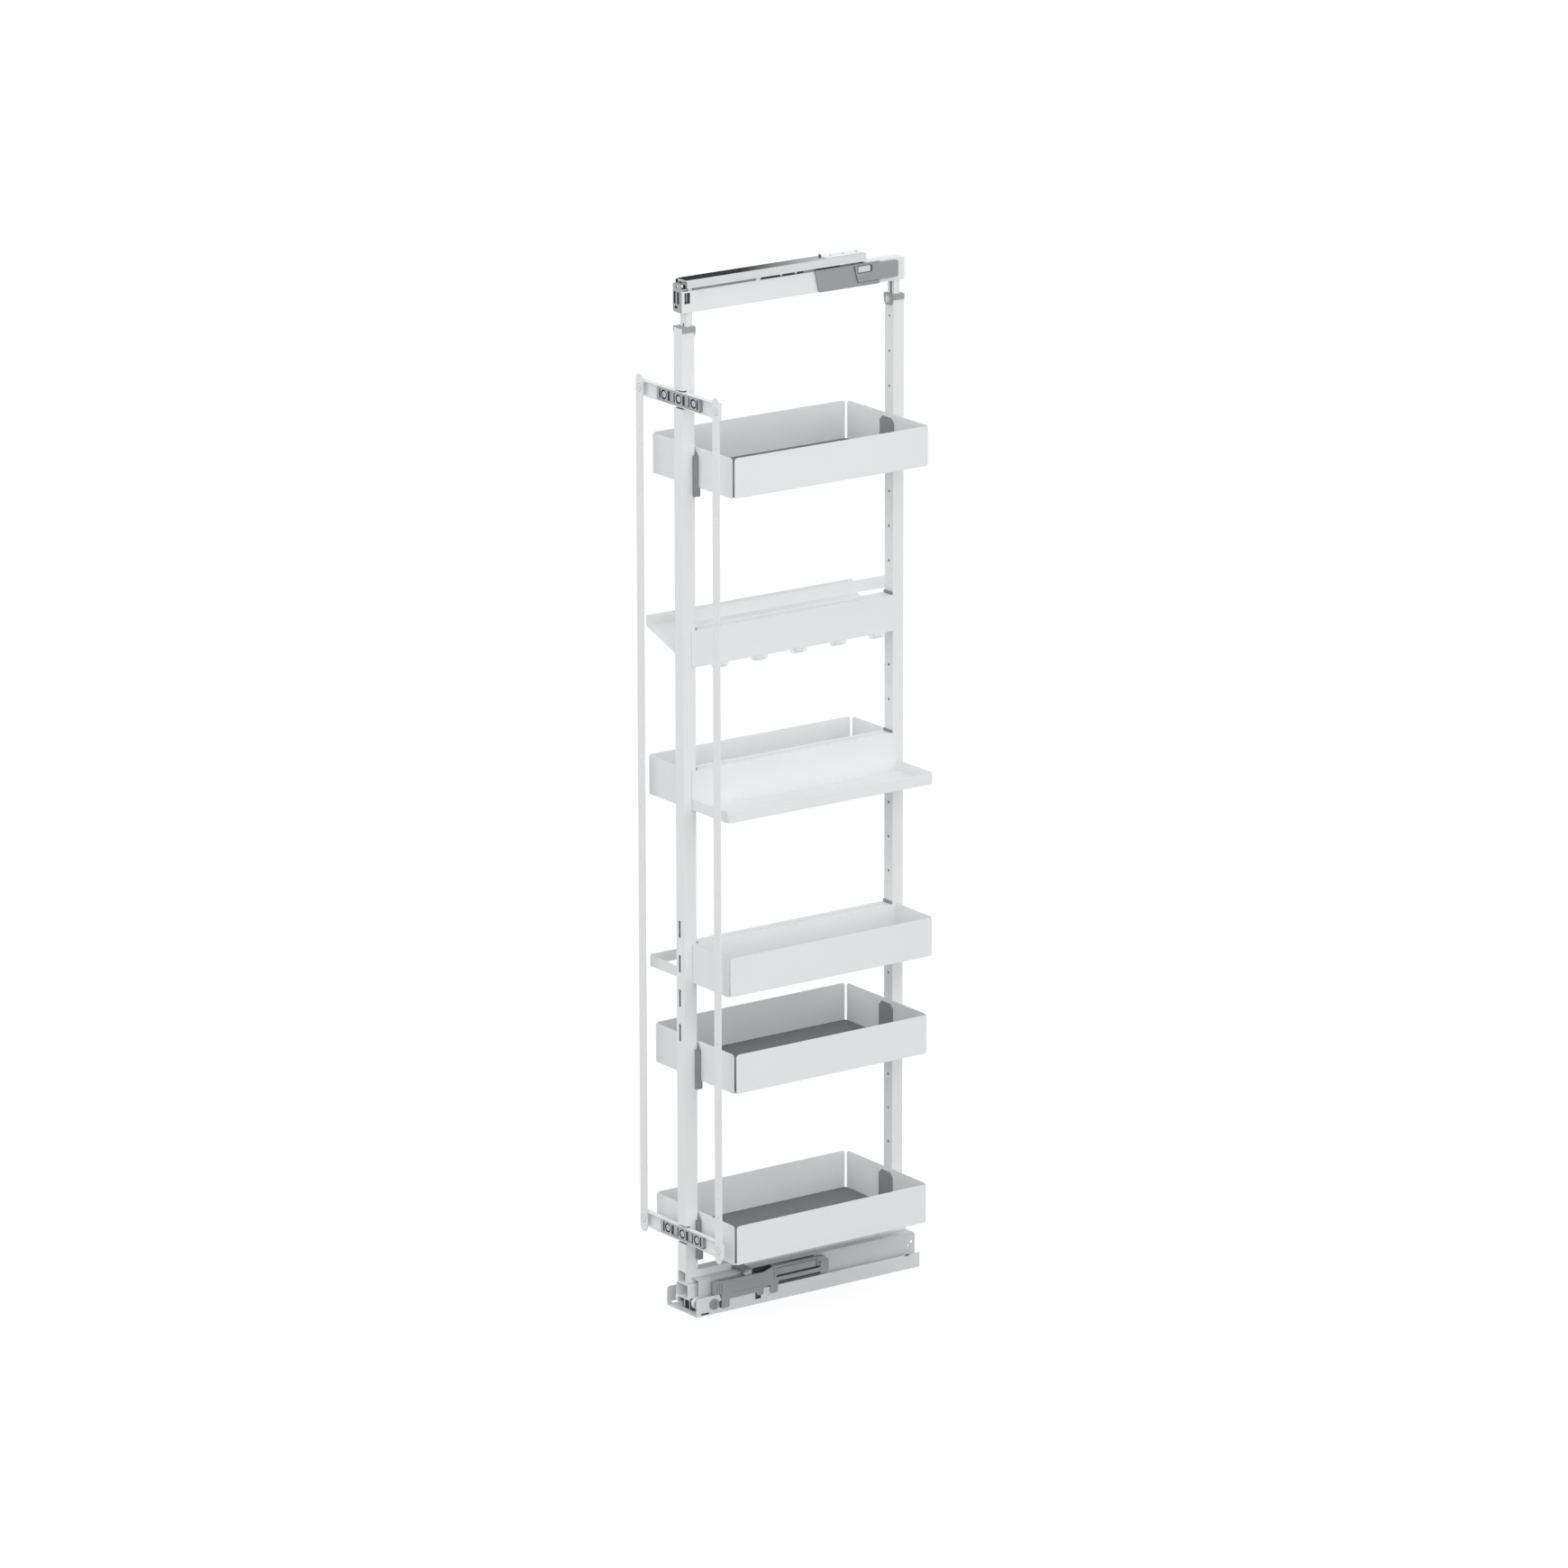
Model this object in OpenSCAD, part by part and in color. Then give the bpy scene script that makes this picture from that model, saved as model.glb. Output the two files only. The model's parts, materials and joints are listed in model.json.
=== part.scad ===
// Pull out pantry frame: a tall telescopic frame on a floor runner and a ceiling runner,
// with trays, side units and door strips. X runs to the right seen from the door,
// Y runs into the cabinet, Z is up. The origin is the centre of the floor rail's underside.

/* [Floor rail] */
// Length of the floor rail
rail_len = 497; // [480:1:600]
// Outer width of the floor rail
rail_w = 92.6; // [90:0.1:110]
// Height of the rail's side walls
rail_wall_h = 27.5; // [24:0.5:28]
// Height of the raised ears at the front
ear_h = 34.5; // [30:0.5:35]
// Length of the raised ears
ear_len = 52; // [45:1:53]
// Corner radius of the ears
ear_r = 5; // [2:0.5:6.5]
// Sheet thickness of the floor rail
rail_t = 1.5; // [1:0.1:2]
// Diameter of the floor screw holes
floor_hole_d = 5.5; // [4:0.1:6.5]
// Spacing of the floor screw holes across the rail
floor_hole_x = 70; // [69.5:0.1:70.5]
// Spacing of the floor screw holes along the rail
floor_hole_y = 380; // [300:1:420]

/* [Middle rail] */
// Outer width of the middle rail
mid_w = 63; // [63:0.5:66]
// Sheet thickness of the middle rail
mid_t = 1.5; // [1:0.1:2]
// Length of the middle rail
mid_len = 481; // [440:1:481]
// Gap between the rail floor and the middle rail
mid_floor_gap = 5; // [3:0.5:8]
// Height of the lower track, for the floor rollers
low_track_h = 22; // [20:0.5:24]
// Height of the upper track, for the carriage rollers
high_track_h = 30.5; // [28:0.5:34]
// Setback of the middle rail behind the front of the floor rail
mid_setback = 15.6; // [10:0.1:16]
// Radius of the middle rail's top rear corners
mid_corner_r = 6; // [2:0.5:10]
// Depth of the middle rail's trough, where the carriage runs
trough_d = 6.5; // [5:0.5:6.5]

/* [Rollers] */
// Width of a roller
roller_w = 7.1; // [6:0.1:7.1]
// Gap between a roller and its track
roller_gap = 0.3; // [0.2:0.05:0.5]
// Diameter of the axles
axle_d = 6; // [5:0.1:8]
// Radial clearance of a roller on its axle
bore_gap = 0.05; // [0.02:0.01:0.1]
// Distance of the first floor axle from the front of the floor rail
axle_front = 16.6; // [14:0.1:20]
// Distance between the two axles of a set
axle_pitch = 35; // [33:0.5:40]
// Distance of the last carriage axle from the rear of the carriage
axle_rear = 20; // [16:0.5:40]

/* [Frame] */
// Width of the uprights
upright_w = 25; // [24:0.1:27]
// Depth of the front upright
front_d = 26.1; // [25.5:0.1:28]
// Depth of the rear upright
rear_d = 23; // [20:0.1:27]
// Wall thickness of the uprights and beams
tube_t = 1.5; // [1.2:0.1:2]
// Length of the uprights
upright_len = 1732; // [1700:1:1900]
// Clear distance between the uprights
upright_gap = 432.2; // [420:0.1:440]
// Setback of the front upright behind the door face
upright_setback = 2.3; // [2.1:0.1:3]
// Height of the carriage box
carriage_h = 27; // [26:0.5:30]
// Width of the carriage box
carriage_w = 36.6; // [34:0.1:36.6]
// Gap between the carriage and the middle rail's trough
carriage_gap = 1; // [0.8:0.1:2]
// Height of the lower beam
low_beam_h = 24; // [20:0.5:30]
// Length of the lower beam behind the rear upright
low_beam_tail = 8.4; // [2:0.1:9]
// Diameter of the holes in the uprights
hole_d = 5; // [4.5:0.1:6]
// Pitch of the holes in the uprights
hole_pitch = 64; // [64:1:64]
// Distance of the first hole below the top of the uprights
first_hole_drop = 38.4; // [34:0.1:50]
// Number of holes in an upright
hole_count = 27; // [26:1:27]
// Length of the slots in the front upright
slot_len = 32; // [20:0.5:40]
// Width of the slots in the front upright
slot_w = 6.4; // [4:0.1:8]

/* [Height adjustment] */
// Free length of the inner tubes above the collars
extension = 25.5; // [14:0.5:120]
// Length of the inner tubes inside the uprights
insert_len = 188; // [120:1:191]
// Width of the inner tubes
inner_w = 18.6; // [16:0.1:19]
// Wall thickness of the inner tubes
inner_t = 1.2; // [1:0.1:1.5]
// Height of the collars round the uprights
collar_h = 8; // [7:0.5:18]
// Thickness of the collars
collar_t = 2; // [1.5:0.1:3]
// Sliding clearance of the inner tubes and collars
slide_gap = 0.25; // [0.15:0.05:0.4]

/* [Top beam] */
// Height of the top beam
top_beam_h = 38.5; // [34:0.5:45]
// Width of the top beam
top_beam_w = 24; // [23:0.5:26]
// Length of the top beam without its end cap
top_beam_len = 467.4; // [450:0.1:470]
// Length of the rear end cap
end_cap_len = 17; // [10:0.5:25]
// Thickness of the front end bracket
bracket_t = 2.4; // [2:0.1:2.6]

/* [Top runner] */
// Travel of the pull out
travel = 440; // [380:1:450]
// Length of the ceiling rail
ceiling_len = 387; // [360:1:387]
// Width of the ceiling rail
ceiling_w = 36; // [35:0.5:40]
// Height of the ceiling rail
ceiling_h = 14; // [13.5:0.1:16]
// Sheet thickness of the slide profiles
slide_t = 1.6; // [1.2:0.1:1.8]
// Gap between the top beam and the ceiling rail
ceiling_gap = 6; // [4:0.5:10]
// Diameter of the balls
ball_d = 3.2; // [2.8:0.1:3.4]
// Clearance between a ball and its tracks
ball_gap = 0.1; // [0.05:0.05:0.2]
// Number of balls in a row
ball_count = 8; // [4:1:12]
// Diameter of the ceiling screw holes
ceiling_hole_d = 4.6; // [4:0.1:5.5]
// Distance between the ceiling screw holes
ceiling_hole_y = 305; // [280:1:320]

/* [Door front] */
// Distance of the door face in front of the floor rail
door_lead = 1.5; // [1:0.1:3]
// Distance between the centre lines of the door strips
strip_span = 232.4; // [220:0.1:236]
// Width of a door strip
strip_w = 20; // [18:0.5:24]
// Thickness of a door strip
strip_t = 2; // [1.5:0.1:2]
// Reach of a door strip past the centres of the arms
strip_end = 24.5; // [22:0.5:32]
// Height of the lower arm's centre above the floor
arm_z = 145.5; // [140:0.5:160]
// Pitch of the door screw holes
door_pitch = 96; // [96:1:96]
// Least drop of the upper arm below the tops of the uprights
arm_drop = 110; // [100:1:125]
// Diameter of the door screw holes
door_hole_d = 4.6; // [4:0.1:5.5]
// Height of the C arms
arm_h = 27.5; // [26:0.5:30]
// Depth of the C arms
arm_d = 9.5; // [8.5:0.1:9.6]
// Length of the C arms
arm_len = 257; // [254:0.5:264]
// Sheet thickness of the C arms
arm_t = 1.5; // [1.2:0.1:1.8]
// Length of an adjuster
adjuster_len = 130; // [124:1:150]
// Room for the height adjustment above and below the arms
notch_gap = 3; // [2.8:0.1:4]

/* [Trays] */
// Overall width of the trays
tray_w = 250.6; // [240:0.1:260]
// Height of the deep tray walls
tray_h = 72; // [60:0.5:80]
// Sheet thickness of the trays
tray_t = 1.5; // [1.2:0.1:2]
// Corner radius of the trays
tray_r = 9; // [6:0.5:14]
// Width of the slits at the tray corners
slit_w = 4; // [2:0.5:6]
// Radius of the wall ends at the slits
flap_r = 5; // [2:0.5:8]
// Height of a tray rim above the hole that carries it
rim_rise = 15.6; // [10:0.1:20]
// Thickness of the mats
mat_t = 2; // [1:0.1:3]
// Distance of the mats from the tray walls
mat_inset = 3; // [2.5:0.1:6]
// Thickness of the tray hangers
hanger_t = 2.3; // [2:0.1:3]
// Width of the tray hangers
hanger_w = 42; // [36:0.5:50]
// Hole that carries the top tray
top_tray_hole = 3; // [2:1:4]
// Hole that carries the lower tray
lower_tray_hole = 20; // [20:1:21]
// Hole that carries the bottom tray
bottom_tray_hole = 25; // [24:1:25]

/* [Side units] */
// Length of the side units
side_len = 450.4; // [446:0.1:456]
// Height of the side panels
side_h = 71; // [68:0.5:80]
// Height of the low walls and the ring
low_wall_h = 20; // [15:0.5:30]
// Height of a side panel's top above the hole that carries it
side_rise = 4; // [3:0.1:6]
// Width of the top flanges
flange_w = 13.3; // [6:0.1:13.5]
// Height of the hook panel
hook_panel_h = 67; // [60:0.5:75]
// Number of hooks
hook_count = 5; // [3:1:5]
// Distance between the hooks
hook_pitch = 86; // [80:0.5:100]
// Width of a hook where it leaves the panel
hook_w = 36; // [24:0.5:40]
// Width of a hook at its tip
hook_tip_w = 10; // [8:0.5:14]
// Drop of the tilted shelf from its outer to its inner edge
shelf_drop = 42; // [30:0.5:43]
// Height of the guard rail
guard_h = 22; // [15:0.5:30]
// Height of the guard rail above the hole
guard_rise = 13.4; // [10:0.1:20]
// Hole that carries the hook panel and the tilted shelf
hook_level_hole = 8; // [7:1:8]
// Hole that carries the shallow tray and the left deep tray
shallow_level_hole = 12; // [11:1:12]
// Hole that carries the right deep tray and the ring
deep_level_hole = 17; // [16:1:17]

/* [Soft close] */
// Distance of the soft-close housing from the front of the floor rail
soft_front = 40; // [40:0.5:42]
// Width of the soft-close housing
soft_w = 10.5; // [10:0.1:12]
// Outer radius of the damper cylinder
damper_r = 4.2; // [3.5:0.1:4.4]
// Radius of the piston rod
piston_r = 1.8; // [1.5:0.1:2.2]
// Diameter of the side guide screw's head
guide_head_d = 19.5; // [16:0.5:20]

/* [Hidden] */
$fn = 48;
eps = 0.01;

// Places along Y
rail_y0 = -rail_len / 2;
rail_y1 = rail_len / 2;
door_y = rail_y0 - door_lead;
front_y0 = door_y + upright_setback;
front_y1 = front_y0 + front_d;
rear_y0 = front_y1 + upright_gap;
rear_y1 = rear_y0 + rear_d;
low_beam_y0 = front_y0 - 0.5;
low_beam_y1 = rear_y1 + low_beam_tail;
carriage_y0 = low_beam_y0 + 0.5;
carriage_y1 = low_beam_y1 - 4;
mid_y0 = rail_y0 + mid_setback;
mid_y1 = mid_y0 + mid_len;
mid_y = (front_y1 + rear_y0) / 2;

// Places along Z
mid_z0 = rail_t + mid_floor_gap;
low_track_z = mid_z0 + mid_t;
plate_z0 = low_track_z + low_track_h;
high_track_z = plate_z0 + mid_t;
mid_top_z0 = high_track_z + high_track_h;
mid_z1 = mid_top_z0 + mid_t;
trough_z0 = plate_z0 - trough_d;
carriage_z0 = trough_z0 + mid_t + carriage_gap;
carriage_z1 = carriage_z0 + carriage_h;
upright_z0 = carriage_z1 + low_beam_h;
upright_z1 = upright_z0 + upright_len;
collar_z0 = upright_z1 - collar_h;
collar_z1 = upright_z1 + collar_t;
beam_z0 = collar_z1 + extension;
beam_z1 = beam_z0 + top_beam_h;
ceiling_z0 = beam_z1 + ceiling_gap;
ceiling_z1 = ceiling_z0 + ceiling_h;
first_hole_z = upright_z1 - first_hole_drop;

// Rollers and axles
axle_r = axle_d / 2;
axle_head_r = axle_r + 1.5;
axle_head_t = 1;
axle_end_gap = 0.6;
low_roller_r = low_track_h / 2 - roller_gap;
high_roller_r = high_track_h / 2 - roller_gap;
low_axle_z = low_track_z + low_track_h / 2;
high_axle_z = high_track_z + high_track_h / 2;
mid_in = mid_w / 2 - mid_t;
axle_x = mid_in - axle_end_gap;
roller_x1 = axle_x - axle_head_t - 0.3;
roller_x0 = roller_x1 - roller_w;
trough_gap = 0.6;
trough_half = carriage_w / 2 + trough_gap + mid_t;
lip_gap = 1;
roller_rim = 3;
bracket_half = 15;
bracket_in = 8;
bracket_end = 5;
bracket_plate = 1.5;
low_axles = [rail_y0 + axle_front, rail_y0 + axle_front + axle_pitch];
high_axles = [carriage_y1 - axle_rear - axle_pitch, carriage_y1 - axle_rear];

// Upright holes, trays and side units
function hole_z(k) = first_hole_z - k * hole_pitch;
function rim_z(k) = hole_z(k) + rim_rise;
function side_z(k) = hole_z(k) + side_rise;
upright_half = upright_w / 2;
tube_r = 2.5;
hanger_gap = 0.3;
tray_y0 = front_y1 + hanger_t + hanger_gap;
tray_y1 = rear_y0 - hanger_t - hanger_gap;
tray_d = tray_y1 - tray_y0;
tray_mid = (tray_y0 + tray_y1) / 2;
peg_r = hole_d / 2 - 0.1;
peg_len = tube_t + 0.7;
stud_w = 9;
stud_h = 14;
stud_drop = 35;
stud_gap = 0.4;
stud_plate_t = 2;
plate_drop = 7;
plate_chamfer = 8;
hanger_tip = 2;
hanger_slope = 13;
cheek_d = 5;
cheek_gap = 0.2;
hanger_skin = 0.9;
hanger_foot_h = 16;
hanger_foot_d = 6;
side_gap = 0.3;
side_x0 = upright_half + side_gap;
side_x1 = tray_w / 2;
side_y0 = mid_y - side_len / 2;
side_y1 = mid_y + side_len / 2;
flange_x = side_x0 + tray_t - flange_w;
flange_end_gap = 1;
clip_t = 2.6;
clip_ledge_d = 11;
clip_ledge_h = 6;
clip_bar_h = 12;
lip_h = 18;
hook_r = 6;
hook_lead = 10;
hook_taper = 6;

// Inner tubes and collars
notch_d = arm_d + 0.5;
notch_plate_t = 1.2;
inner_half = inner_w / 2;
inner_room = 0.6;
inner_d = front_d - tube_t - slide_gap - notch_d - notch_plate_t - inner_room;
front_inner_y0 = front_y1 - tube_t - slide_gap - inner_d;
rear_inner_y0 = rear_y0 + tube_t + slide_gap + 1.5;
inner_z0 = collar_z1 - insert_len;
boss_w = 22;
boss_h = 18;
boss_r = 7;
boss_d = 1.5;
clamp_r = 2.5;
clamp_head_r = 4.2;
clamp_head_t = 2;
clamp_gap = 0.1;
clamp_drop = 7.6;
clamp_z = upright_z1 - clamp_drop;

// Top beam and slide
beam_half = top_beam_w / 2;
beam_y0 = front_y0 + 0.3;
beam_y1 = beam_y0 + top_beam_len;
ceiling_y0 = rail_y0 + 8.5;
ceiling_y1 = ceiling_y0 + ceiling_len;
ceiling_half = ceiling_w / 2;
track_gap = ball_d + 2 * ball_gap;
slide_half = ceiling_half - slide_t - track_gap;
runner_half = slide_half - slide_t - track_gap;
slide_setback = 2;
shoulder_r = 3;
slide_r = 2;
rail_groove_d = 0.6;
rail_groove_w = 1.2;
rail_groove_z = ceiling_z0 + 4.5;
beam_corner_r = 4;
slide_y0 = ceiling_y0 + slide_setback;
slide_y1 = ceiling_y1 - 2 * slide_setback;
slide_z0 = ceiling_z0 + slide_t + 1.4;
slide_z1 = ceiling_z1 - slide_t - 1.4;
runner_y0 = beam_y0 + 14;
runner_y1 = ceiling_y1 - 11;
runner_z1 = slide_z1 - slide_t - 0.9;
runner_z0 = slide_z0 + 0.5;
outer_ball_x = slide_half + track_gap / 2;
inner_ball_x = runner_half + track_gap / 2;
outer_ball_z = (slide_z0 + slide_z1) / 2;
inner_ball_z = (runner_z0 + runner_z1) / 2;
cage_t = 1;
cage_h = ball_d + 1;
cage_y0 = slide_y0 + travel / 4;
cage_y1 = runner_y1 - travel / 4;
ball_pitch = (cage_y1 - cage_y0) / ball_count;

// Top soft-close unit
damper_t = 4.5;
damper_len = 183;
step_len = 42;
cap_len = 95.5;
cap_inset = 3.5;
damper_y2 = beam_y1 - damper_len;
damper_step = beam_y1 - step_len;
cap_y1 = beam_y1 - cap_inset;
cap_y0 = cap_y1 - cap_len;
cap_t = 2.5;
cap_slant = 8;
window_y = [cap_y0 + 7, cap_y0 + 35];
window_z = [beam_z0 + 25, beam_z0 + 37];

// Door front
strip_y1 = door_y + strip_t;
arm_y0 = strip_y1;
arm_y1 = arm_y0 + arm_d;
door_holes = floor((upright_z1 - arm_drop - arm_z) / door_pitch) - 1;
arm_rise = door_pitch * (door_holes + 1);
arm_zs = [arm_z, arm_z + arm_rise];
strip_z0 = arm_z - strip_end;
strip_z1 = arm_z + arm_rise + strip_end;
strip_half = strip_span / 2;
extra_drop = 67.5;
extra_rise = 61.5;
ear_inset = 1.3;
ear_x0 = strip_half - strip_w / 2 + ear_inset;
ear_corner_r = 3;
channel_inset = 4;
channel_half = strip_half - channel_inset;
back_reach = 2;
back_half = strip_half + back_reach;
adjuster_gap = 0.3;
adjuster_h = arm_h - 2 * arm_t - 1.3;
adjuster_shift = 1.5;
adjuster_y0 = arm_y0 + 1;
adjuster_y1 = arm_y1 - arm_t - adjuster_gap;
notch_y1 = front_y0 + notch_d;
boss_half = 8;
side_travel = 4;
height_travel = 2.5;
adjuster_screw_r = 3;
adjuster_screw_x = adjuster_len / 2 - 20;
pocket_x = adjuster_screw_x / 2;
pocket_half = 11;
screw_pocket_r = 8.5;
screw_pocket_d = 3;
screw_seat_y = adjuster_y0 + screw_pocket_d;
end_pocket_x = adjuster_screw_x + 12;
rivet_r = 2.4;
rivet_head_r = 6.4;
rivet_tail_r = 4.2;
rivet_sink = 1;

// Soft-close unit on the floor rail's right wall
wall_x1 = rail_w / 2;
wall_x0 = wall_x1 - rail_t;
soft_x1 = wall_x1 + 2.2;
soft_x0 = soft_x1 - soft_w;
soft_y0 = rail_y0 + soft_front;
soft_len = 251;
soft_y1 = soft_y0 + soft_len;
soft_low_z1 = rail_wall_h + 31;
soft_high_z1 = rail_wall_h + 37.5;
soft_z0 = rail_wall_h + 0.5;
ramp_from = 106;
ramp_len = 24;
ramp_y0 = soft_y0 + ramp_from;
ramp_y1 = ramp_y0 + ramp_len;
damper_x = (soft_x0 + soft_x1) / 2 - 0.2;
damper_z = rail_wall_h + 21.5;
damper_y0 = ramp_y1 + 4;
damper_y1 = soft_y1 - 6;
slider_from = 60;
slider_y0 = soft_y0 + slider_from;
slider_len = 24;
slider_w = 5;
slider_gap = 0.3;
slider_travel = 45;
slot_bottom_z = damper_z - 6;
soft_slots = [soft_y0 + 10, soft_y0 + 89];
soft_slot_len = 13;
soft_slot_z = 9.5;
soft_slot_h = 12;
soft_hook_len = 17;
soft_hook_from = 14;
skirt_from = 30;
lug_len = 14;
soft_rib_pitch = 5;
soft_rib_w = 2.5;
guide_y = rail_y0 + 38;
guide_r = 3.9;
guide_pad_r = 7;
activator_z = soft_low_z1 + 8.5;
activator_t = 3;

// Colours
white = "#e6e7ea";
grey = "#8e9092";
dark = "#77797b";
metal = "#c8cacc";
zinc = "#54565a";
nylon = "#f2f2f0";

// A block between two limits on each axis
module slab(x, y, z) {
    translate([x[0], y[0], z[0]]) cube([x[1] - x[0], y[1] - y[0], z[1] - z[0]]);
}

// Round bars along an axis
module bar_x(r, x, y, z) {
    translate([x[0], y, z]) rotate([0, 90, 0]) cylinder(r = r, h = x[1] - x[0]);
}

module bar_y(r, x, y, z) {
    translate([x, y[1], z]) rotate([90, 0, 0]) cylinder(r = r, h = y[1] - y[0]);
}

module bar_z(r, x, y, z) {
    translate([x, y, z[0]]) cylinder(r = r, h = z[1] - z[0]);
}

// A flat shape drawn in Y and Z, extruded along X
module along_x(x) {
    translate([x[0], 0, 0]) rotate([90, 0, 90]) linear_extrude(x[1] - x[0]) children();
}

// A flat shape drawn in X and Z, extruded along Y
module along_y(y) {
    translate([0, y[1], 0]) rotate([90, 0, 0]) linear_extrude(y[1] - y[0]) children();
}

module area(x, y) {
    translate([x[0], y[0]]) square([x[1] - x[0], y[1] - y[0]]);
}

// A rectangle whose corners are round
module round_area(x, y, r) {
    area([x[0] + r, x[1] - r], y);
    area(x, [y[0] + r, y[1] - r]);
    for (cx = [x[0] + r, x[1] - r], cy = [y[0] + r, y[1] - r]) translate([cx, cy]) circle(r);
}

module on_both_sides() {
    children();
    mirror([1, 0, 0]) children();
}

// Floor runner

module wall_outline() {
    area([rail_y0, rail_y1], [0, rail_wall_h]);
    area([rail_y0 + ear_r, rail_y0 + ear_len - ear_r], [0, ear_h]);
    area([rail_y0, rail_y0 + ear_len], [0, ear_h - ear_r]);
    for (y = [rail_y0 + ear_r, rail_y0 + ear_len - ear_r]) translate([y, ear_h - ear_r]) circle(ear_r);
}

module floor_rail() {
    color(white) difference() {
        union() {
            slab([-wall_x1, wall_x1], [rail_y0, rail_y1], [0, rail_t]);
            on_both_sides() along_x([wall_x0, wall_x1]) wall_outline();
        }
        for (x = [-1, 1], y = [-1, 1])
            bar_z(floor_hole_d / 2, x * floor_hole_x / 2, y * floor_hole_y / 2, [-1, rail_t + 1]);
        on_both_sides() {
            for (y = soft_slots)
                slab([wall_x0 - 1, wall_x1 + 1], [y, y + soft_slot_len], [soft_slot_z, soft_slot_z + soft_slot_h]);
            slab([wall_x0 - 1, wall_x1 + 1], [rail_y0 + 10, rail_y0 + 28], [rail_t, rail_t + 4]);
            slab([wall_x0 - 1, wall_x1 + 1], [rail_y1 - 33, rail_y1 - 23], [rail_wall_h - 2.5, rail_wall_h + 1]);
        }
        bar_x(guide_r + bore_gap, [wall_x0 - 1, wall_x1 + 1], guide_y, low_axle_z);
    }
}

module roller_bracket() {
    y = [low_axles[0] - bracket_end, low_axles[1] + bracket_end];
    color(metal) difference() {
        union() {
            slab([-bracket_half, bracket_half], y, [rail_t, rail_t + bracket_plate]);
            on_both_sides() slab([bracket_in - bracket_plate, bracket_in], y, [rail_t, trough_z0 - 1]);
        }
        for (a = low_axles) bar_x(axle_r + bore_gap, [-bracket_in - 1, bracket_in + 1], a, low_axle_z);
    }
}

module axle(y, z) {
    bar_x(axle_r, [-axle_x, axle_x], y, z);
    on_both_sides() bar_x(axle_head_r, [axle_x - axle_head_t, axle_x], y, z);
}

module floor_axles() {
    color(metal) for (a = low_axles) axle(a, low_axle_z);
}

// A pair of rollers on one axle, each with a shallow ring recess in both faces
module roller_pair(r, y, z) {
    on_both_sides() difference() {
        bar_x(r, [roller_x0, roller_x1], y, z);
        bar_x(axle_r + bore_gap, [roller_x0 - 1, roller_x1 + 1], y, z);
        for (x = [roller_x0, roller_x1]) difference() {
            bar_x(r - roller_rim, [x - 1, x + 1], y, z);
            bar_x(axle_head_r + 1, [x - 2, x + 2], y, z);
        }
    }
}

module floor_rollers_front() {
    color(nylon) roller_pair(low_roller_r, low_axles[0], low_axle_z);
}

module floor_rollers_rear() {
    color(nylon) roller_pair(low_roller_r, low_axles[1], low_axle_z);
}

module side_guide_screw() {
    head_t = 4;
    pad_gap = 0.8;
    color(grey) difference() {
        union() {
            bar_x(guide_head_d / 2, [wall_x1, wall_x1 + head_t], guide_y, low_axle_z);
            bar_x(guide_r, [wall_x0 - 2, wall_x1 + 1], guide_y, low_axle_z);
            bar_x(guide_pad_r, [mid_w / 2 + pad_gap, wall_x0 - 0.2], guide_y, low_axle_z);
        }
        slab([wall_x1 + head_t - 1.5, wall_x1 + head_t + 1], [guide_y - 6, guide_y + 6], [low_axle_z - 1, low_axle_z + 1]);
        slab([wall_x1 + head_t - 1.5, wall_x1 + head_t + 1], [guide_y - 1, guide_y + 1], [low_axle_z - 6, low_axle_z + 6]);
    }
}

module soft_outline() {
    polygon([
        [soft_y0, ear_h + 0.5], [soft_y0 + soft_hook_from, ear_h + 0.5], [soft_y0 + soft_hook_from, soft_z0],
        [ramp_y0, soft_z0], [ramp_y0 + 14, soft_z0 + 3], [soft_y1 - 4, soft_z0 + 3], [soft_y1, soft_z0 + 8],
        [soft_y1, soft_high_z1 - 10], [soft_y1 - 9, soft_high_z1 - 2], [ramp_y1, soft_high_z1], [ramp_y0, soft_low_z1],
        [soft_y0 + 2, soft_low_z1 + 1], [soft_y0, soft_low_z1 - 1]
    ]);
}

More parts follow.
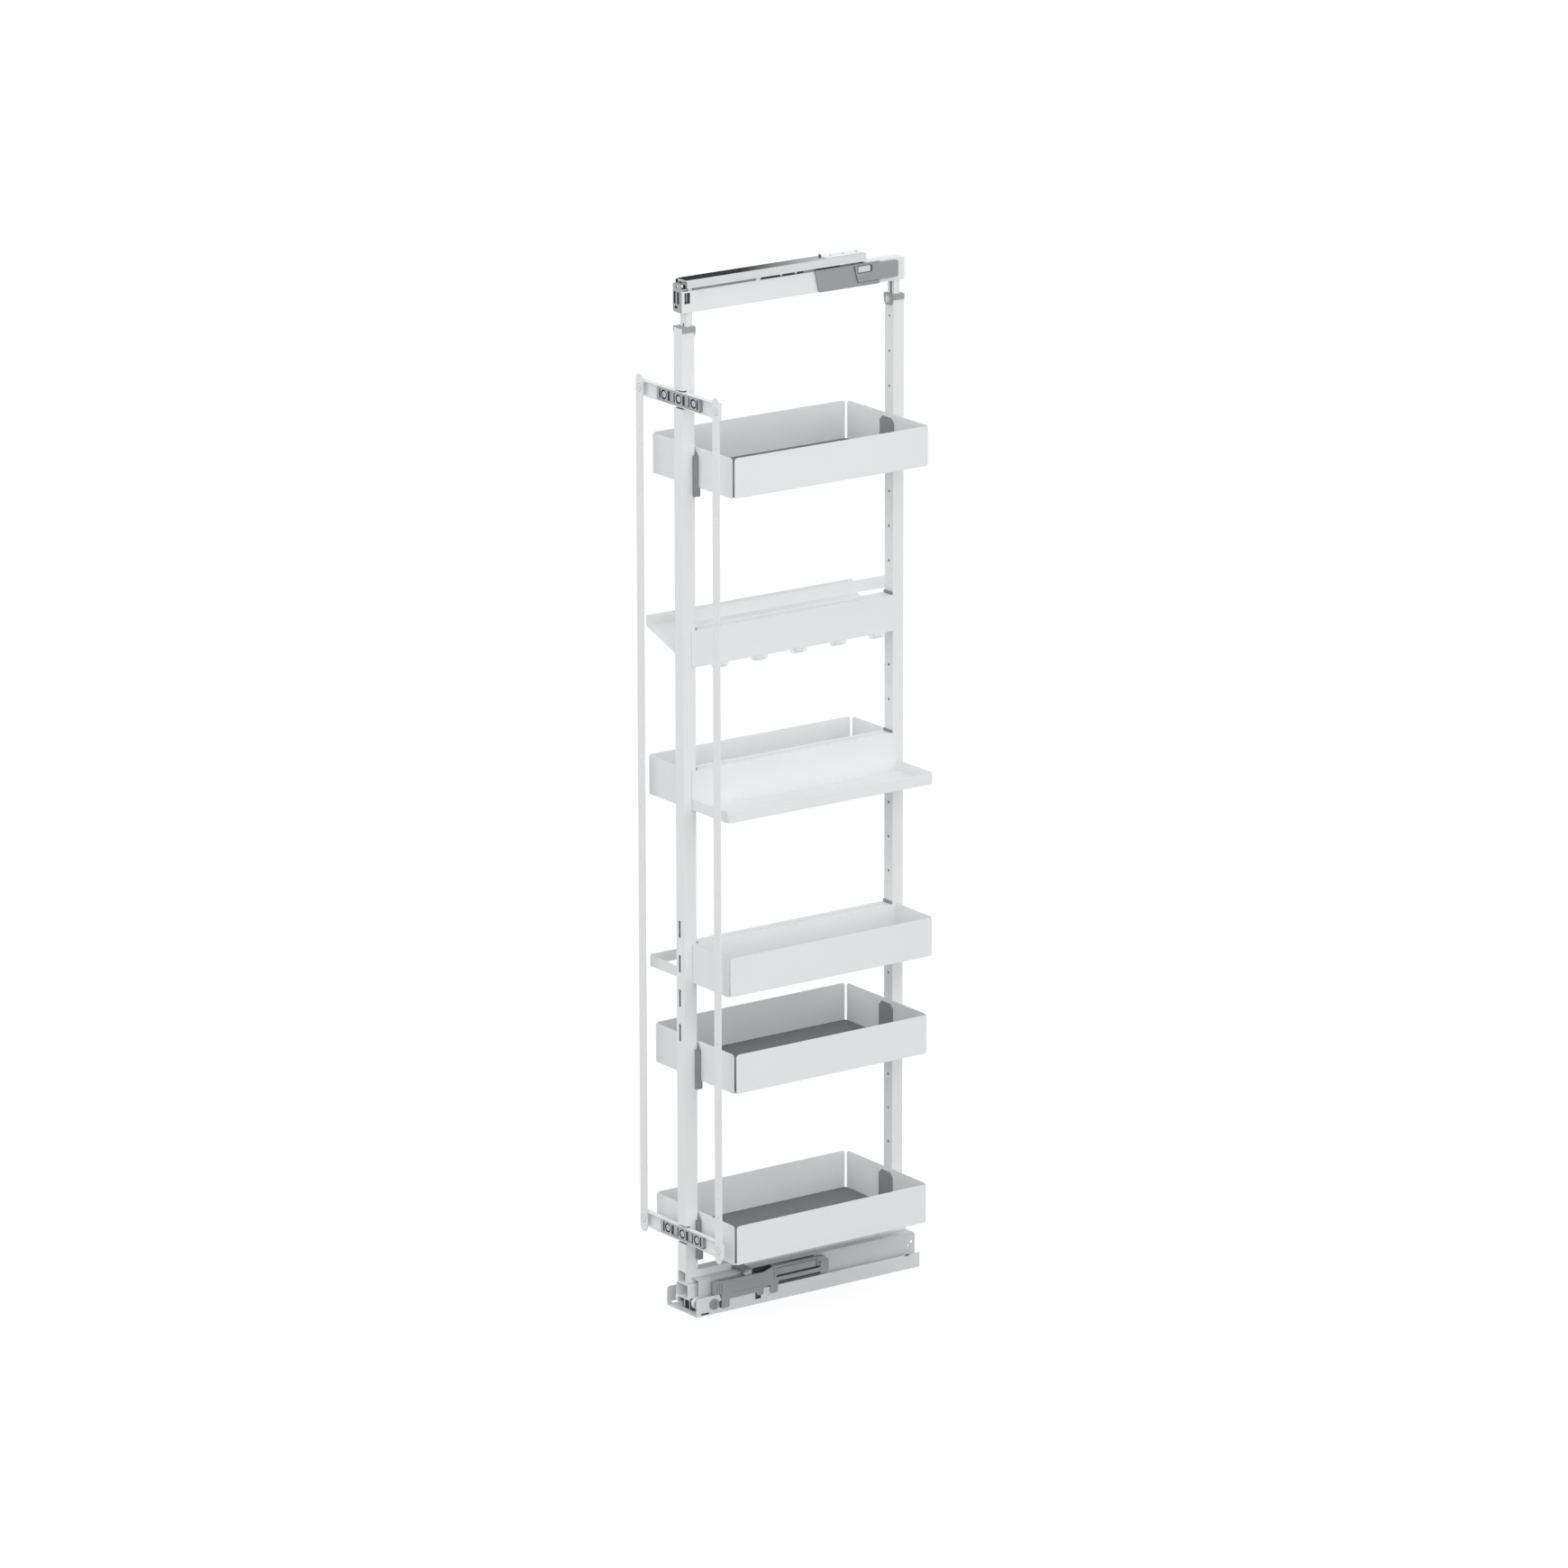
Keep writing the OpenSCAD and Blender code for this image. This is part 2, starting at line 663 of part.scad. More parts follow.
module soft_close_housing() {
    lug_x = [wall_x1 + 0.2, soft_x1];
    lug_r = 3;
    hook_y0 = soft_y0 + soft_hook_from;
    rear_hook_y0 = ramp_y0 + 15;
    sight_half = damper_r + 2;
    color(grey) difference() {
        union() {
            along_x([soft_x0, soft_x1]) soft_outline();
            // skirt and lugs outside the wall
            slab(lug_x, [soft_y0 + skirt_from, ramp_y0], [rail_wall_h - 4, soft_z0 + 1]);
            along_x(lug_x) round_area([hook_y0, hook_y0 + soft_hook_len], [soft_slot_z - 1.5, soft_z0 + lug_r], lug_r);
            along_x(lug_x) round_area([ramp_y0 - lug_len, ramp_y0], [soft_slot_z + 7, soft_z0 + lug_r], lug_r);
            along_x(lug_x) round_area([rear_hook_y0, rear_hook_y0 + soft_hook_len], [soft_slot_z + 5.5, soft_z0 + 3 + lug_r], lug_r);
            // tongues in the wall's slots
            slab([wall_x0 - 0.5, soft_x1], [soft_slots[0] + 4, soft_slots[0] + 12], [soft_slot_z + 1, soft_slot_z + 10]);
            slab([wall_x0 - 0.5, soft_x1], [soft_slots[1] + 4, soft_slots[1] + 12], [soft_slot_z + 8, soft_slot_z + 11]);
        }
        // slot for the catch slider
        slab([damper_x - slider_w / 2 - slider_gap, damper_x + slider_w / 2 + slider_gap],
            [slider_y0 - slider_travel - 2, slider_y0 + slider_len + 4], [slot_bottom_z, soft_high_z1 + 1]);
        // way for the piston rod and seat of the cylinder
        bar_y(piston_r + 0.4, damper_x, [slider_y0 + slider_len, damper_y0 + 1], damper_z);
        bar_y(damper_r + bore_gap, damper_x, [damper_y0, soft_y1 + 1], damper_z);
        // window that shows the cylinder
        slab([damper_x + 0.5, soft_x1 + 1], [damper_y0 + 2, damper_y1 - 12], [damper_z - sight_half, damper_z + sight_half]);
        // ribs at the front end and a line between the body and its skirt
        for (k = [1 : 3]) slab([soft_x1 - 1.2, soft_x1 + 1],
            [soft_y0 + k * soft_rib_pitch - soft_rib_w, soft_y0 + k * soft_rib_pitch], [ear_h + 2, soft_low_z1 - 3]);
        slab([soft_x1 - 0.6, soft_x1 + 1], [hook_y0 + soft_hook_len, ramp_y0], [soft_z0 + 5, soft_z0 + 6]);
    }
}

module damper_cylinder() {
    color(dark) difference() {
        bar_y(damper_r, damper_x, [damper_y0 + 0.5, damper_y1], damper_z);
        bar_y(piston_r + bore_gap, damper_x, [damper_y0 - 1, damper_y1 - 4], damper_z);
    }
}

module piston_rod() {
    color(metal) bar_y(piston_r, damper_x, [slider_y0 + slider_len, damper_y1 - 10], damper_z);
}

module catch_slider() {
    x = [damper_x - slider_w / 2, damper_x + slider_w / 2];
    color(dark) along_x(x) polygon([
        [slider_y0, slot_bottom_z + slider_gap], [slider_y0 + slider_len, slot_bottom_z + slider_gap],
        [slider_y0 + slider_len, soft_low_z1 - 2], [slider_y0 + 20, soft_low_z1 - 2],
        [slider_y0 + 18, activator_z - 1], [slider_y0 + 11, activator_z - 1],
        [slider_y0 + 9, soft_low_z1 - 3], [slider_y0, soft_low_z1 - 3]
    ]);
}

module middle_rail() {
    half = mid_w / 2;
    color(white) difference() {
        along_y([mid_y0, mid_y1]) {
            area([-trough_half, trough_half], [trough_z0, trough_z0 + mid_t]);
            on_both_sides() {
                area([trough_half - mid_t, trough_half], [trough_z0, high_track_z]);
                area([trough_half - mid_t, half], [plate_z0, high_track_z]);
                area([mid_in, half], [mid_z0, mid_z1]);
                area([roller_x0, half], [mid_z0, low_track_z]);
                area([upright_half + lip_gap, half], [mid_top_z0, mid_z1]);
            }
        }
        along_x([-half - 1, half + 1]) difference() {
            area([mid_y1 - mid_corner_r, mid_y1 + 1], [mid_z1 - mid_corner_r, mid_z1 + 1]);
            translate([mid_y1 - mid_corner_r, mid_z1 - mid_corner_r]) circle(mid_corner_r);
        }
        on_both_sides() {
            bar_x(3, [mid_in - 1, half + 1], mid_y1 - 7, plate_z0 + 15);
            bar_x(2, [mid_in - 1, half + 1], mid_y1 - 14, plate_z0 + 8);
        }
    }
}

// Frame

module box_tube(half, y, z) {
    along_y(y) difference() {
        round_area([-half, half], z, tube_r);
        round_area([tube_t - half, half - tube_t], [z[0] + tube_t, z[1] - tube_t], tube_r - tube_t);
    }
}

module lower_beam() {
    color(white) difference() {
        box_tube(upright_half, [low_beam_y0, low_beam_y1], [carriage_z1, upright_z0]);
        bar_x(2, [upright_half - tube_t - 1, upright_half + 1], low_beam_y0 + 16.5, carriage_z1 + 9.7);
    }
}

module carriage() {
    half = carriage_w / 2;
    color(white) difference() {
        box_tube(half, [carriage_y0, carriage_y1], [carriage_z0, carriage_z1]);
        for (a = high_axles) bar_x(axle_r + bore_gap, [-half - 1, half + 1], a, high_axle_z);
    }
}

module carriage_axles() {
    color(metal) for (a = high_axles) axle(a, high_axle_z);
}

module carriage_rollers_front() {
    color(nylon) roller_pair(high_roller_r, high_axles[0], high_axle_z);
}

module carriage_rollers_rear() {
    color(nylon) roller_pair(high_roller_r, high_axles[1], high_axle_z);
}

module activator_arm() {
    y = slider_y0 + 6;
    arm_wd = 16;
    color(metal) {
        slab([upright_half, upright_half + 2], [y - 6, y + arm_wd + 6], [mid_z1 + lip_gap, activator_z + activator_t]);
        slab([upright_half, damper_x + slider_w], [y, y + arm_wd], [activator_z, activator_z + activator_t]);
    }
}

module upright_tube(y, t) {
    difference() {
        slab([-upright_half, upright_half], y, [upright_z0, upright_z1]);
        slab([-upright_half + t, upright_half - t], [y[0] + t, y[1] - t], [upright_z0 - 1, upright_z1 + 1]);
    }
}

module hole_row(y) {
    for (k = [0 : hole_count - 1]) bar_y(hole_d / 2, 0, y, hole_z(k));
}

module notch_area(z) {
    half = arm_h / 2 + notch_gap;
    slab([-upright_half - 1, upright_half + 1], [front_y0 - 1, notch_y1], [z - half, z + half]);
}

module front_upright() {
    slot_x = -3;
    slot_count = 4;
    first_slot = hole_z(16) - hole_pitch / 2;
    plate_over = 4;
    color(white) difference() {
        union() {
            difference() {
                upright_tube([front_y0, front_y1], tube_t);
                hole_row([front_y1 - tube_t - 1, front_y1 + 1]);
                bar_y(clamp_r + 0.3, 0, [front_y1 - tube_t - 1, front_y1 + 1], clamp_z);
                for (k = [0 : slot_count - 1])
                    slab([slot_x - slot_w / 2, slot_x + slot_w / 2], [front_y0 - 1, front_y0 + tube_t + 1],
                        [first_slot - k * hole_pitch - slot_len / 2, first_slot - k * hole_pitch + slot_len / 2]);
            }
            // plates that close the notches and carry the door adjusters
            for (z = arm_zs)
                slab([-upright_half + tube_t / 2, upright_half - tube_t / 2], [notch_y1, notch_y1 + notch_plate_t],
                    [z - arm_h / 2 - notch_gap - plate_over, z + arm_h / 2 + notch_gap + plate_over]);
        }
        for (z = arm_zs) {
            notch_area(z);
            for (s = [-1, 1]) bar_y(adjuster_screw_r + 0.3, 0, [notch_y1 - 1, notch_y1 + notch_plate_t + 1], z + s * height_travel);
            slab([-adjuster_screw_r - 0.3, adjuster_screw_r + 0.3], [notch_y1 - 1, notch_y1 + notch_plate_t + 1],
                [z - height_travel, z + height_travel]);
        }
    }
}

module rear_upright() {
    color(white) difference() {
        upright_tube([rear_y0, rear_y1], tube_t);
        hole_row([rear_y0 - 1, rear_y0 + tube_t + 1]);
        bar_y(clamp_r + 0.3, 0, [rear_y0 - 1, rear_y0 + tube_t + 1], clamp_z);
    }
}

// A collar on three sides of an upright's top; side is 1 where the clamp boss faces the back, -1 where it faces the front
module collar(y, inner_y, side) {
    half = upright_half + collar_t;
    face = side > 0 ? y[1] + collar_t : y[0] - collar_t;
    boss_y = side > 0 ? [y[1], face + boss_d] : [face - boss_d, y[0]];
    difference() {
        union() {
            slab([-half, half], side > 0 ? [y[0], face] : [face, y[1]], [collar_z0, collar_z1]);
            slab([-boss_w / 2, boss_w / 2], boss_y, [collar_z0, upright_z1]);
            along_y(boss_y) round_area([-boss_w / 2, boss_w / 2], [upright_z1 - boss_h, upright_z1], boss_r);
        }
        slab([-upright_half - 0.1, upright_half + 0.1], [y[0] - 0.1, y[1] + 0.1], [collar_z0 - boss_h, upright_z1 + eps]);
        slab([-inner_half - slide_gap, inner_half + slide_gap], [inner_y - slide_gap, inner_y + inner_d + slide_gap],
            [upright_z1 - 1, collar_z1 + 1]);
        bar_y(clamp_r + clamp_gap, 0, [min(face - boss_d, face - collar_t) - 1, max(face + boss_d, face + collar_t) + 1], clamp_z);
    }
}

module upright_collars() {
    color(grey) {
        collar([front_y0, front_y1], front_inner_y0, 1);
        collar([rear_y0, rear_y1], rear_inner_y0, -1);
    }
}

module clamp_screws() {
    front_face = front_y1 + collar_t + boss_d;
    rear_face = rear_y0 - collar_t - boss_d;
    color(metal) {
        difference() {
            union() {
                bar_y(clamp_r, 0, [front_inner_y0 + inner_d + 0.1, front_face + 1], clamp_z);
                bar_y(clamp_head_r, 0, [front_face, front_face + clamp_head_t], clamp_z);
            }
            slab([-3, 3], [front_face + 1, front_face + clamp_head_t + 1], [clamp_z - 0.6, clamp_z + 0.6]);
        }
        difference() {
            union() {
                bar_y(clamp_r, 0, [rear_face - 1, rear_inner_y0 - 0.1], clamp_z);
                bar_y(clamp_head_r, 0, [rear_face - clamp_head_t, rear_face], clamp_z);
            }
            slab([-3, 3], [rear_face - clamp_head_t - 1, rear_face - 1], [clamp_z - 0.6, clamp_z + 0.6]);
        }
    }
}

module inner_tube(y0) {
    difference() {
        slab([-inner_half, inner_half], [y0, y0 + inner_d], [inner_z0, beam_z0]);
        slab([-inner_half + inner_t, inner_half - inner_t], [y0 + inner_t, y0 + inner_d - inner_t], [inner_z0 - 1, beam_z0 + 1]);
    }
}

module inner_tubes() {
    groove = 3.2;
    pin_hole_r = 2.8;
    groove_z = [inner_z0 + 15, beam_z0 - 3];
    color(white) {
        difference() {
            inner_tube(front_inner_y0);
            slab([-groove, groove], [front_inner_y0 + inner_d - inner_t - 1, front_inner_y0 + inner_d + 1], groove_z);
            bar_y(pin_hole_r, 0, [front_inner_y0 - 1, front_inner_y0 + inner_t + 1], collar_z1 + pin_hole_r);
        }
        difference() {
            inner_tube(rear_inner_y0);
            slab([-groove, groove], [rear_inner_y0 - 1, rear_inner_y0 + inner_t + 1], groove_z);
        }
    }
}

// Top beam and runner

module top_beam() {
    color(white) difference() {
        along_y([beam_y0, beam_y1]) area([-beam_half, beam_half], [beam_z0, beam_z1]);
        along_y([beam_y0 - 1, beam_y1 + 1]) area([tube_t - beam_half, beam_half - tube_t], [beam_z0 + tube_t, beam_z1 + 1]);
        slab([-beam_half - 1, beam_half + 1], [beam_y0 + 6, beam_y0 + 18], [beam_z0 + 16, beam_z0 + 35.5]);
        along_x([-beam_half - 1, beam_half + 1]) difference() {
            area([beam_y0 - 1, beam_y0 + beam_corner_r], [beam_z1 - beam_corner_r, beam_z1 + 1]);
            translate([beam_y0 + beam_corner_r, beam_z1 - beam_corner_r]) circle(beam_corner_r);
        }
    }
}

module front_end_bracket() {
    y = [beam_y0 - bracket_t, beam_y0];
    z0 = beam_z0 + tube_t;
    half = beam_half - 0.4;
    tongue = beam_half - tube_t - 0.3;
    slot_z = [beam_z0 + 15.5, beam_z0 + 37.5];
    color(zinc) {
        along_y(y) difference() {
            round_area([-half, half], [z0, beam_z1 + 14], 4);
            round_area([-9, -3.2], slot_z, 1);
            round_area([1.4, 7.2], slot_z, 1);
            round_area([-6.5, 2.5], [beam_z0 + 7.5, beam_z0 + 12.3], 2.3);
            round_area([-3, 5], [beam_z1 + 5.5, beam_z1 + 10.1], 2.2);
        }
        slab([-tongue, tongue], [beam_y0 - 1, beam_y0 + 12], [z0, z0 + 6]);
        slab([-tongue, tongue], [beam_y0 - 1, runner_y0 - 1], [beam_z1 + 1, beam_z1 + 4]);
    }
}

module rear_end_cap() {
    plate_len = 70;
    cap_r = 4;
    cap_hole_r = 1.8;
    color(white) difference() {
        union() {
            translate([0, 0, beam_z0]) linear_extrude(top_beam_h + 2) {
                area([-beam_half, beam_half], [beam_y1, beam_y1 + end_cap_len - cap_r]);
                area([-beam_half + cap_r, beam_half - cap_r], [beam_y1, beam_y1 + end_cap_len]);
                for (x = [-beam_half + cap_r, beam_half - cap_r]) translate([x, beam_y1 + end_cap_len - cap_r]) circle(cap_r);
            }
            slab([-beam_half, beam_half], [beam_y1 - plate_len, beam_y1 + 1], [beam_z1, beam_z1 + 2]);
        }
        for (k = [0 : 3]) bar_z(cap_hole_r, beam_half - 4, beam_y1 - 40 + 9 * k, [beam_z1 - 1, beam_z1 + 3]);
        along_x([-beam_half - 1, beam_half + 1]) difference() {
            area([beam_y1 + end_cap_len - cap_r, beam_y1 + end_cap_len + 1], [beam_z1 + 2 - cap_r, beam_z1 + 3]);
            translate([beam_y1 + end_cap_len - cap_r, beam_z1 + 2 - cap_r]) circle(cap_r);
        }
    }
}

module top_runner() {
    foot = beam_half - tube_t - 0.5;
    web = 5;
    color(metal) along_y([runner_y0, runner_y1]) {
        area([-foot, foot], [beam_z0 + tube_t, beam_z0 + 2 * tube_t]);
        on_both_sides() area([web - slide_t, web], [beam_z0 + tube_t, runner_z1]);
        area([-runner_half, runner_half], [runner_z0, runner_z1]);
    }
}

function ball_y(k) = cage_y0 + (k + 0.5) * ball_pitch;

module cage_pair(x, z) {
    on_both_sides() difference() {
        slab([x - cage_t / 2, x + cage_t / 2], [cage_y0, cage_y1], [z - cage_h / 2, z + cage_h / 2]);
        for (k = [0 : ball_count - 1]) bar_x(ball_d / 2 + 0.15, [x - cage_t, x + cage_t], ball_y(k), z);
    }
}

module ball_rows(x, z) {
    for (s = [-1, 1], k = [0 : ball_count - 1]) translate([s * x, ball_y(k), z]) sphere(d = ball_d);
}

module inner_ball_cages() {
    color(nylon) cage_pair(inner_ball_x, inner_ball_z);
}

module inner_balls() {
    color(metal) ball_rows(inner_ball_x, inner_ball_z);
}

// Section of a slide profile, whose upper corners are round
module slide_area(half, z, r) {
    area([-half, half], [z[0], z[1] - r]);
    area([r - half, half - r], z);
    for (x = [r - half, half - r]) translate([x, z[1] - r]) circle(r);
}

module top_middle_rail() {
    color(metal) difference() {
        along_y([slide_y0, slide_y1]) slide_area(slide_half, [slide_z0, slide_z1], slide_r);
        along_y([slide_y0 - 1, slide_y1 + 1])
            slide_area(slide_half - slide_t, [slide_z0 - 1, slide_z1 - slide_t], slide_r - slide_t);
    }
}

module outer_ball_cages() {
    color(nylon) cage_pair(outer_ball_x, outer_ball_z);
}

module outer_balls() {
    color(metal) ball_rows(outer_ball_x, outer_ball_z);
}

module ceiling_rail() {
    lip = slide_half - 0.5;
    mid = (ceiling_y0 + ceiling_y1) / 2;
    color(metal) difference() {
        along_y([ceiling_y0, ceiling_y1]) slide_area(ceiling_half, [ceiling_z0, ceiling_z1], shoulder_r);
        along_y([ceiling_y0 - 1, ceiling_y1 + 1]) {
            slide_area(ceiling_half - slide_t, [ceiling_z0 + slide_t, ceiling_z1 - slide_t], shoulder_r - slide_t);
            area([-lip, lip], [ceiling_z0 - 1, ceiling_z0 + slide_t + 1]);
        }
        on_both_sides() slab([ceiling_half - rail_groove_d, ceiling_half + 1], [ceiling_y0 - 1, ceiling_y1 + 1],
            [rail_groove_z, rail_groove_z + rail_groove_w]);
        for (s = [-1, 1]) bar_z(ceiling_hole_d / 2, 0, mid + s * ceiling_hole_y / 2, [ceiling_z1 - slide_t - 1, ceiling_z1 + 1]);
        bar_z(ceiling_hole_d / 2, 0, ceiling_y1 - 66, [ceiling_z1 - slide_t - 1, ceiling_z1 + 1]);
        slab([-3, 3], [ceiling_y1 - 5, ceiling_y1 + 1], [ceiling_z1 - slide_t - 1, ceiling_z1 + 1]);
    }
}

module top_damper_housing() {
    r = 3;
    color(grey) along_x([beam_half, beam_half + damper_t]) {
        polygon([
            [damper_y2, beam_z1 + 2], [damper_y2 + 9.3, beam_z0], [damper_step - r, beam_z0], [damper_step, beam_z0 + r],
            [damper_step, beam_z1 + 2]
        ]);
        translate([damper_step - r, beam_z0 + r]) circle(r);
    }
}

module cap_outline() {
    r = 4;
    z = [beam_z0 + 8, beam_z1 - 0.5];
    lean = atan(cap_slant / (z[1] - z[0]));
    foot = cap_y0 + cap_slant + r * (1 - sin(lean)) / cos(lean);
    polygon([
        [cap_y0, z[1]], [foot - r * cos(lean), z[0] + r * (1 - sin(lean))], [foot, z[0]], [cap_y1 - r, z[0]], [cap_y1 - r, z[1]]
    ]);
    translate([foot, z[0] + r]) circle(r);
    area([cap_y1 - r - 1, cap_y1], [z[0] + r, z[1] - r]);
    for (cz = [z[0] + r, z[1] - r]) translate([cap_y1 - r, cz]) circle(r);
}

module top_damper_cap() {
    x = beam_half + damper_t;
    color(grey) difference() {
        union() {
            along_x([x, x + cap_t]) cap_outline();
            along_x([beam_half, x + 1]) intersection() {
                cap_outline();
                area([damper_step, cap_y1 + 1], [beam_z0, beam_z1]);
            }
        }
        slab([x - 1, x + cap_t + 1], window_y, window_z);
    }
}

module damper_window() {
    x = beam_half + damper_t;
    color(nylon) slab([x, x + cap_t - 0.6], [window_y[0] + 0.1, window_y[1] - 0.1], [window_z[0] + 0.1, window_z[1] - 0.1]);
}

// Trays, hangers and side units

// Hanger on the face of an upright, drawn for the front one, with its face on Y = 0
module tray_hanger(k) {
    top = rim_z(k) - hanger_tip;
    foot = rim_z(k) - tray_h - hanger_foot_h;
    half = hanger_w / 2;
    slot_half = stud_w / 2 + stud_gap;
    slot_z = rim_z(k) - stud_drop - stud_h - stud_gap;
    shoulder = top - hanger_slope;
    difference() {
        along_y([0, hanger_t]) polygon([
            [-half, foot], [half, foot], [half, shoulder], [half - 12, top], [12 - half, top], [-half, shoulder]
        ]);
        slab([-slot_half, slot_half], [hanger_skin, hanger_t + 1], [slot_z, top + 1]);
    }
    slab([-half, half], [0, hanger_foot_d], [foot, rim_z(k) - tray_h]);
    // cheeks beside the upright
    on_both_sides() slab([upright_half + cheek_gap, half], [-cheek_d, hanger_t / 2], [foot, shoulder]);
    for (j = [k, k + 1]) bar_y(peg_r, 0, [-peg_len, hanger_skin / 2], hole_z(j));
}

module front_and_back() {
    translate([0, front_y1, 0]) children();
    translate([0, rear_y0, 0]) mirror([0, 1, 0]) children();
}

module tray_hangers() {
    color(grey) for (k = [top_tray_hole, lower_tray_hole, bottom_tray_hole]) front_and_back() tray_hanger(k);
}

// Slit at a corner, with round wall ends at its top; drawn along the corner's diagonal
module corner_slit(h) {
    reach = 4 * tray_r;
    rotate([0, 0, 45]) along_x([-reach, reach]) {
        area([-slit_w / 2, slit_w / 2], [0, h + 1]);
        difference() {
            area([-slit_w / 2 - flap_r, slit_w / 2 + flap_r], [h - flap_r, h + 1]);
            for (s = [-1, 1]) {
                translate([s * (slit_w / 2 + flap_r), h - flap_r]) circle(flap_r);
                area(s > 0 ? [slit_w / 2 + flap_r, slit_w / 2 + 2 * flap_r] : [-slit_w / 2 - 2 * flap_r, -slit_w / 2 - flap_r],
                    [h - flap_r, h]);
            }
        }
    }
}

module full_tray(k) {
    z = rim_z(k) - tray_h;
    half = tray_w / 2;
    window = stud_w / 2 + stud_gap;
    color(white) difference() {
        translate([0, 0, z]) linear_extrude(tray_h) round_area([-half, half], [tray_y0, tray_y1], tray_r);
        translate([0, 0, z + tray_t]) linear_extrude(tray_h)
            round_area([-half + tray_t, half - tray_t], [tray_y0 + tray_t, tray_y1 - tray_t], tray_r - tray_t);
        for (sx = [0, 1], sy = [0, 1]) translate([0, tray_mid, 0]) mirror([sx, 0, 0]) mirror([0, sy, 0])
            translate([half - tray_r, tray_d / 2 - tray_r, z + tray_t]) intersection() {
                corner_slit(tray_h - tray_t);
                slab([-flap_r - slit_w, 2 * tray_r], [-flap_r - slit_w, 2 * tray_r], [0, tray_h + 2]);
            }
        slab([-window, window], [tray_y0 - 1, tray_y1 + 1],
            [rim_z(k) - stud_drop - stud_h - stud_gap, rim_z(k) - stud_drop + stud_gap]);
    }
}

module mat(k) {
    z = rim_z(k) - tray_h + tray_t;
    half = tray_w / 2 - tray_t - mat_inset;
    inset = tray_t + mat_inset;
    color(dark) translate([0, 0, z]) linear_extrude(mat_t)
        round_area([-half, half], [tray_y0 + inset, tray_y1 - inset], tray_r - 2);
}

// Plate inside a tray's end wall with a stud that drops into the hanger's slot
module stud_plate(k) {
    y = hanger_t + hanger_gap + tray_t;
    half = hanger_w / 2 - 0.5;
    top = rim_z(k) - plate_drop;
    along_y([y, y + stud_plate_t]) polygon([
        [-half, rim_z(k) - tray_h + tray_t], [half, rim_z(k) - tray_h + tray_t], [half, top - plate_chamfer],
        [half - plate_chamfer, top], [plate_chamfer - half, top], [-half, top - plate_chamfer]
    ]);
    slab([-stud_w / 2, stud_w / 2], [hanger_skin + hanger_gap, y + 1], [rim_z(k) - stud_drop - stud_h, rim_z(k) - stud_drop]);
}

module tray_studs(k) {
    color(grey) front_and_back() stud_plate(k);
}

// Clip on the face of an upright with a ledge for the side panels' flanges
module side_clip(k) {
    ledge_z = side_z(k) - tray_t;
    slab([-upright_half, upright_half], [0, clip_t], [ledge_z - clip_ledge_h, ledge_z - clip_ledge_h + clip_bar_h]);
    slab([-upright_half + 0.1, upright_half - 0.1], [0, clip_ledge_d], [ledge_z - clip_ledge_h, ledge_z]);
    bar_y(peg_r, 0, [-peg_len, 1], hole_z(k));
}

module side_hanger_clips() {
    color(dark) for (k = [hook_level_hole, shallow_level_hole, deep_level_hole]) front_and_back() side_clip(k);
}

// Panel that lies on the uprights' right sides and hangs by its top flange
module side_panel(top, h) {
    y = [front_y1 + clip_t + flange_end_gap, rear_y0 - clip_t - flange_end_gap];
    slab([side_x0, side_x0 + tray_t], [side_y0, side_y1], [top - h, top]);
    slab([flange_x, side_x0 + tray_t], y, [top - tray_t, top]);
}

// Outline of a side unit seen from above: square at the panel, round at the outer corners
module side_outline(inset, r) {
    round_area([side_x0 + inset, side_x1 - inset], [side_y0 + inset, side_y1 - inset], r);
    area([side_x0 + inset, side_x0 + 3 * tray_r], [side_y0 + inset, side_y1 - inset]);
}

module side_slits(z, h) {
    for (s = [0, 1]) translate([0, mid_y, 0]) mirror([0, s, 0])
        translate([side_x1 - tray_r, side_len / 2 - tray_r, z]) intersection() {
            corner_slit(h);
            slab([-flap_r - slit_w, 2 * tray_r], [-flap_r - slit_w, 2 * tray_r], [0, h + 2]);
        }
}

// Band along the outside of a side unit
module side_band(z, h) {
    translate([0, 0, z]) linear_extrude(h) difference() {
        side_outline(0, tray_r);
        side_outline(tray_t, tray_r - tray_t);
    }
}

module side_floor(z) {
    translate([0, 0, z]) linear_extrude(tray_t) side_outline(0, tray_r);
}

// Tray that hangs on the right, with walls of height h and slits at the outer corners
module side_tray(k, h) {
    top = side_z(k);
    z = top - side_h;
    side_panel(top, side_h);
    side_floor(z);
    difference() {
        side_band(z, h);
        side_slits(z + tray_t, h - tray_t);
    }
}

module right_deep_tray() {
    color(white) side_tray(deep_level_hole, side_h);
}

module left_deep_tray() {
    color(white) mirror([1, 0, 0]) side_tray(shallow_level_hole, side_h);
}

module right_shallow_tray() {
    color(white) side_tray(shallow_level_hole, low_wall_h);
}

module left_ring() {
    top = side_z(deep_level_hole);
    color(white) mirror([1, 0, 0]) {
        side_panel(top, side_h);
        side_band(top - side_h, low_wall_h);
    }
}

// A J hook under the hook panel, drawn in X and Z with the panel's lower edge at Z = 0
module hook_outline() {
    difference() {
        translate([hook_r, 0]) circle(hook_r);
        translate([hook_r, 0]) circle(hook_r - tray_t);
        area([-1, 2 * hook_r + 1], [0, hook_r + 1]);
    }
    area([0, tray_t], [-eps, 3]);
    area([2 * hook_r - tray_t, 2 * hook_r], [-eps, 4]);
}

// A hook that narrows from the panel to its tip
module hook() {
    tip = 2 * hook_r + 1;
    intersection() {
        along_y([0, hook_w]) hook_outline();
        translate([0, 0, -hook_r - 1]) linear_extrude(2 * hook_r + 2) polygon([
            [-1, 0], [tray_t, 0], [tip, hook_taper], [tip, hook_taper + hook_tip_w], [tray_t, hook_w], [-1, hook_w]
        ]);
    }
}

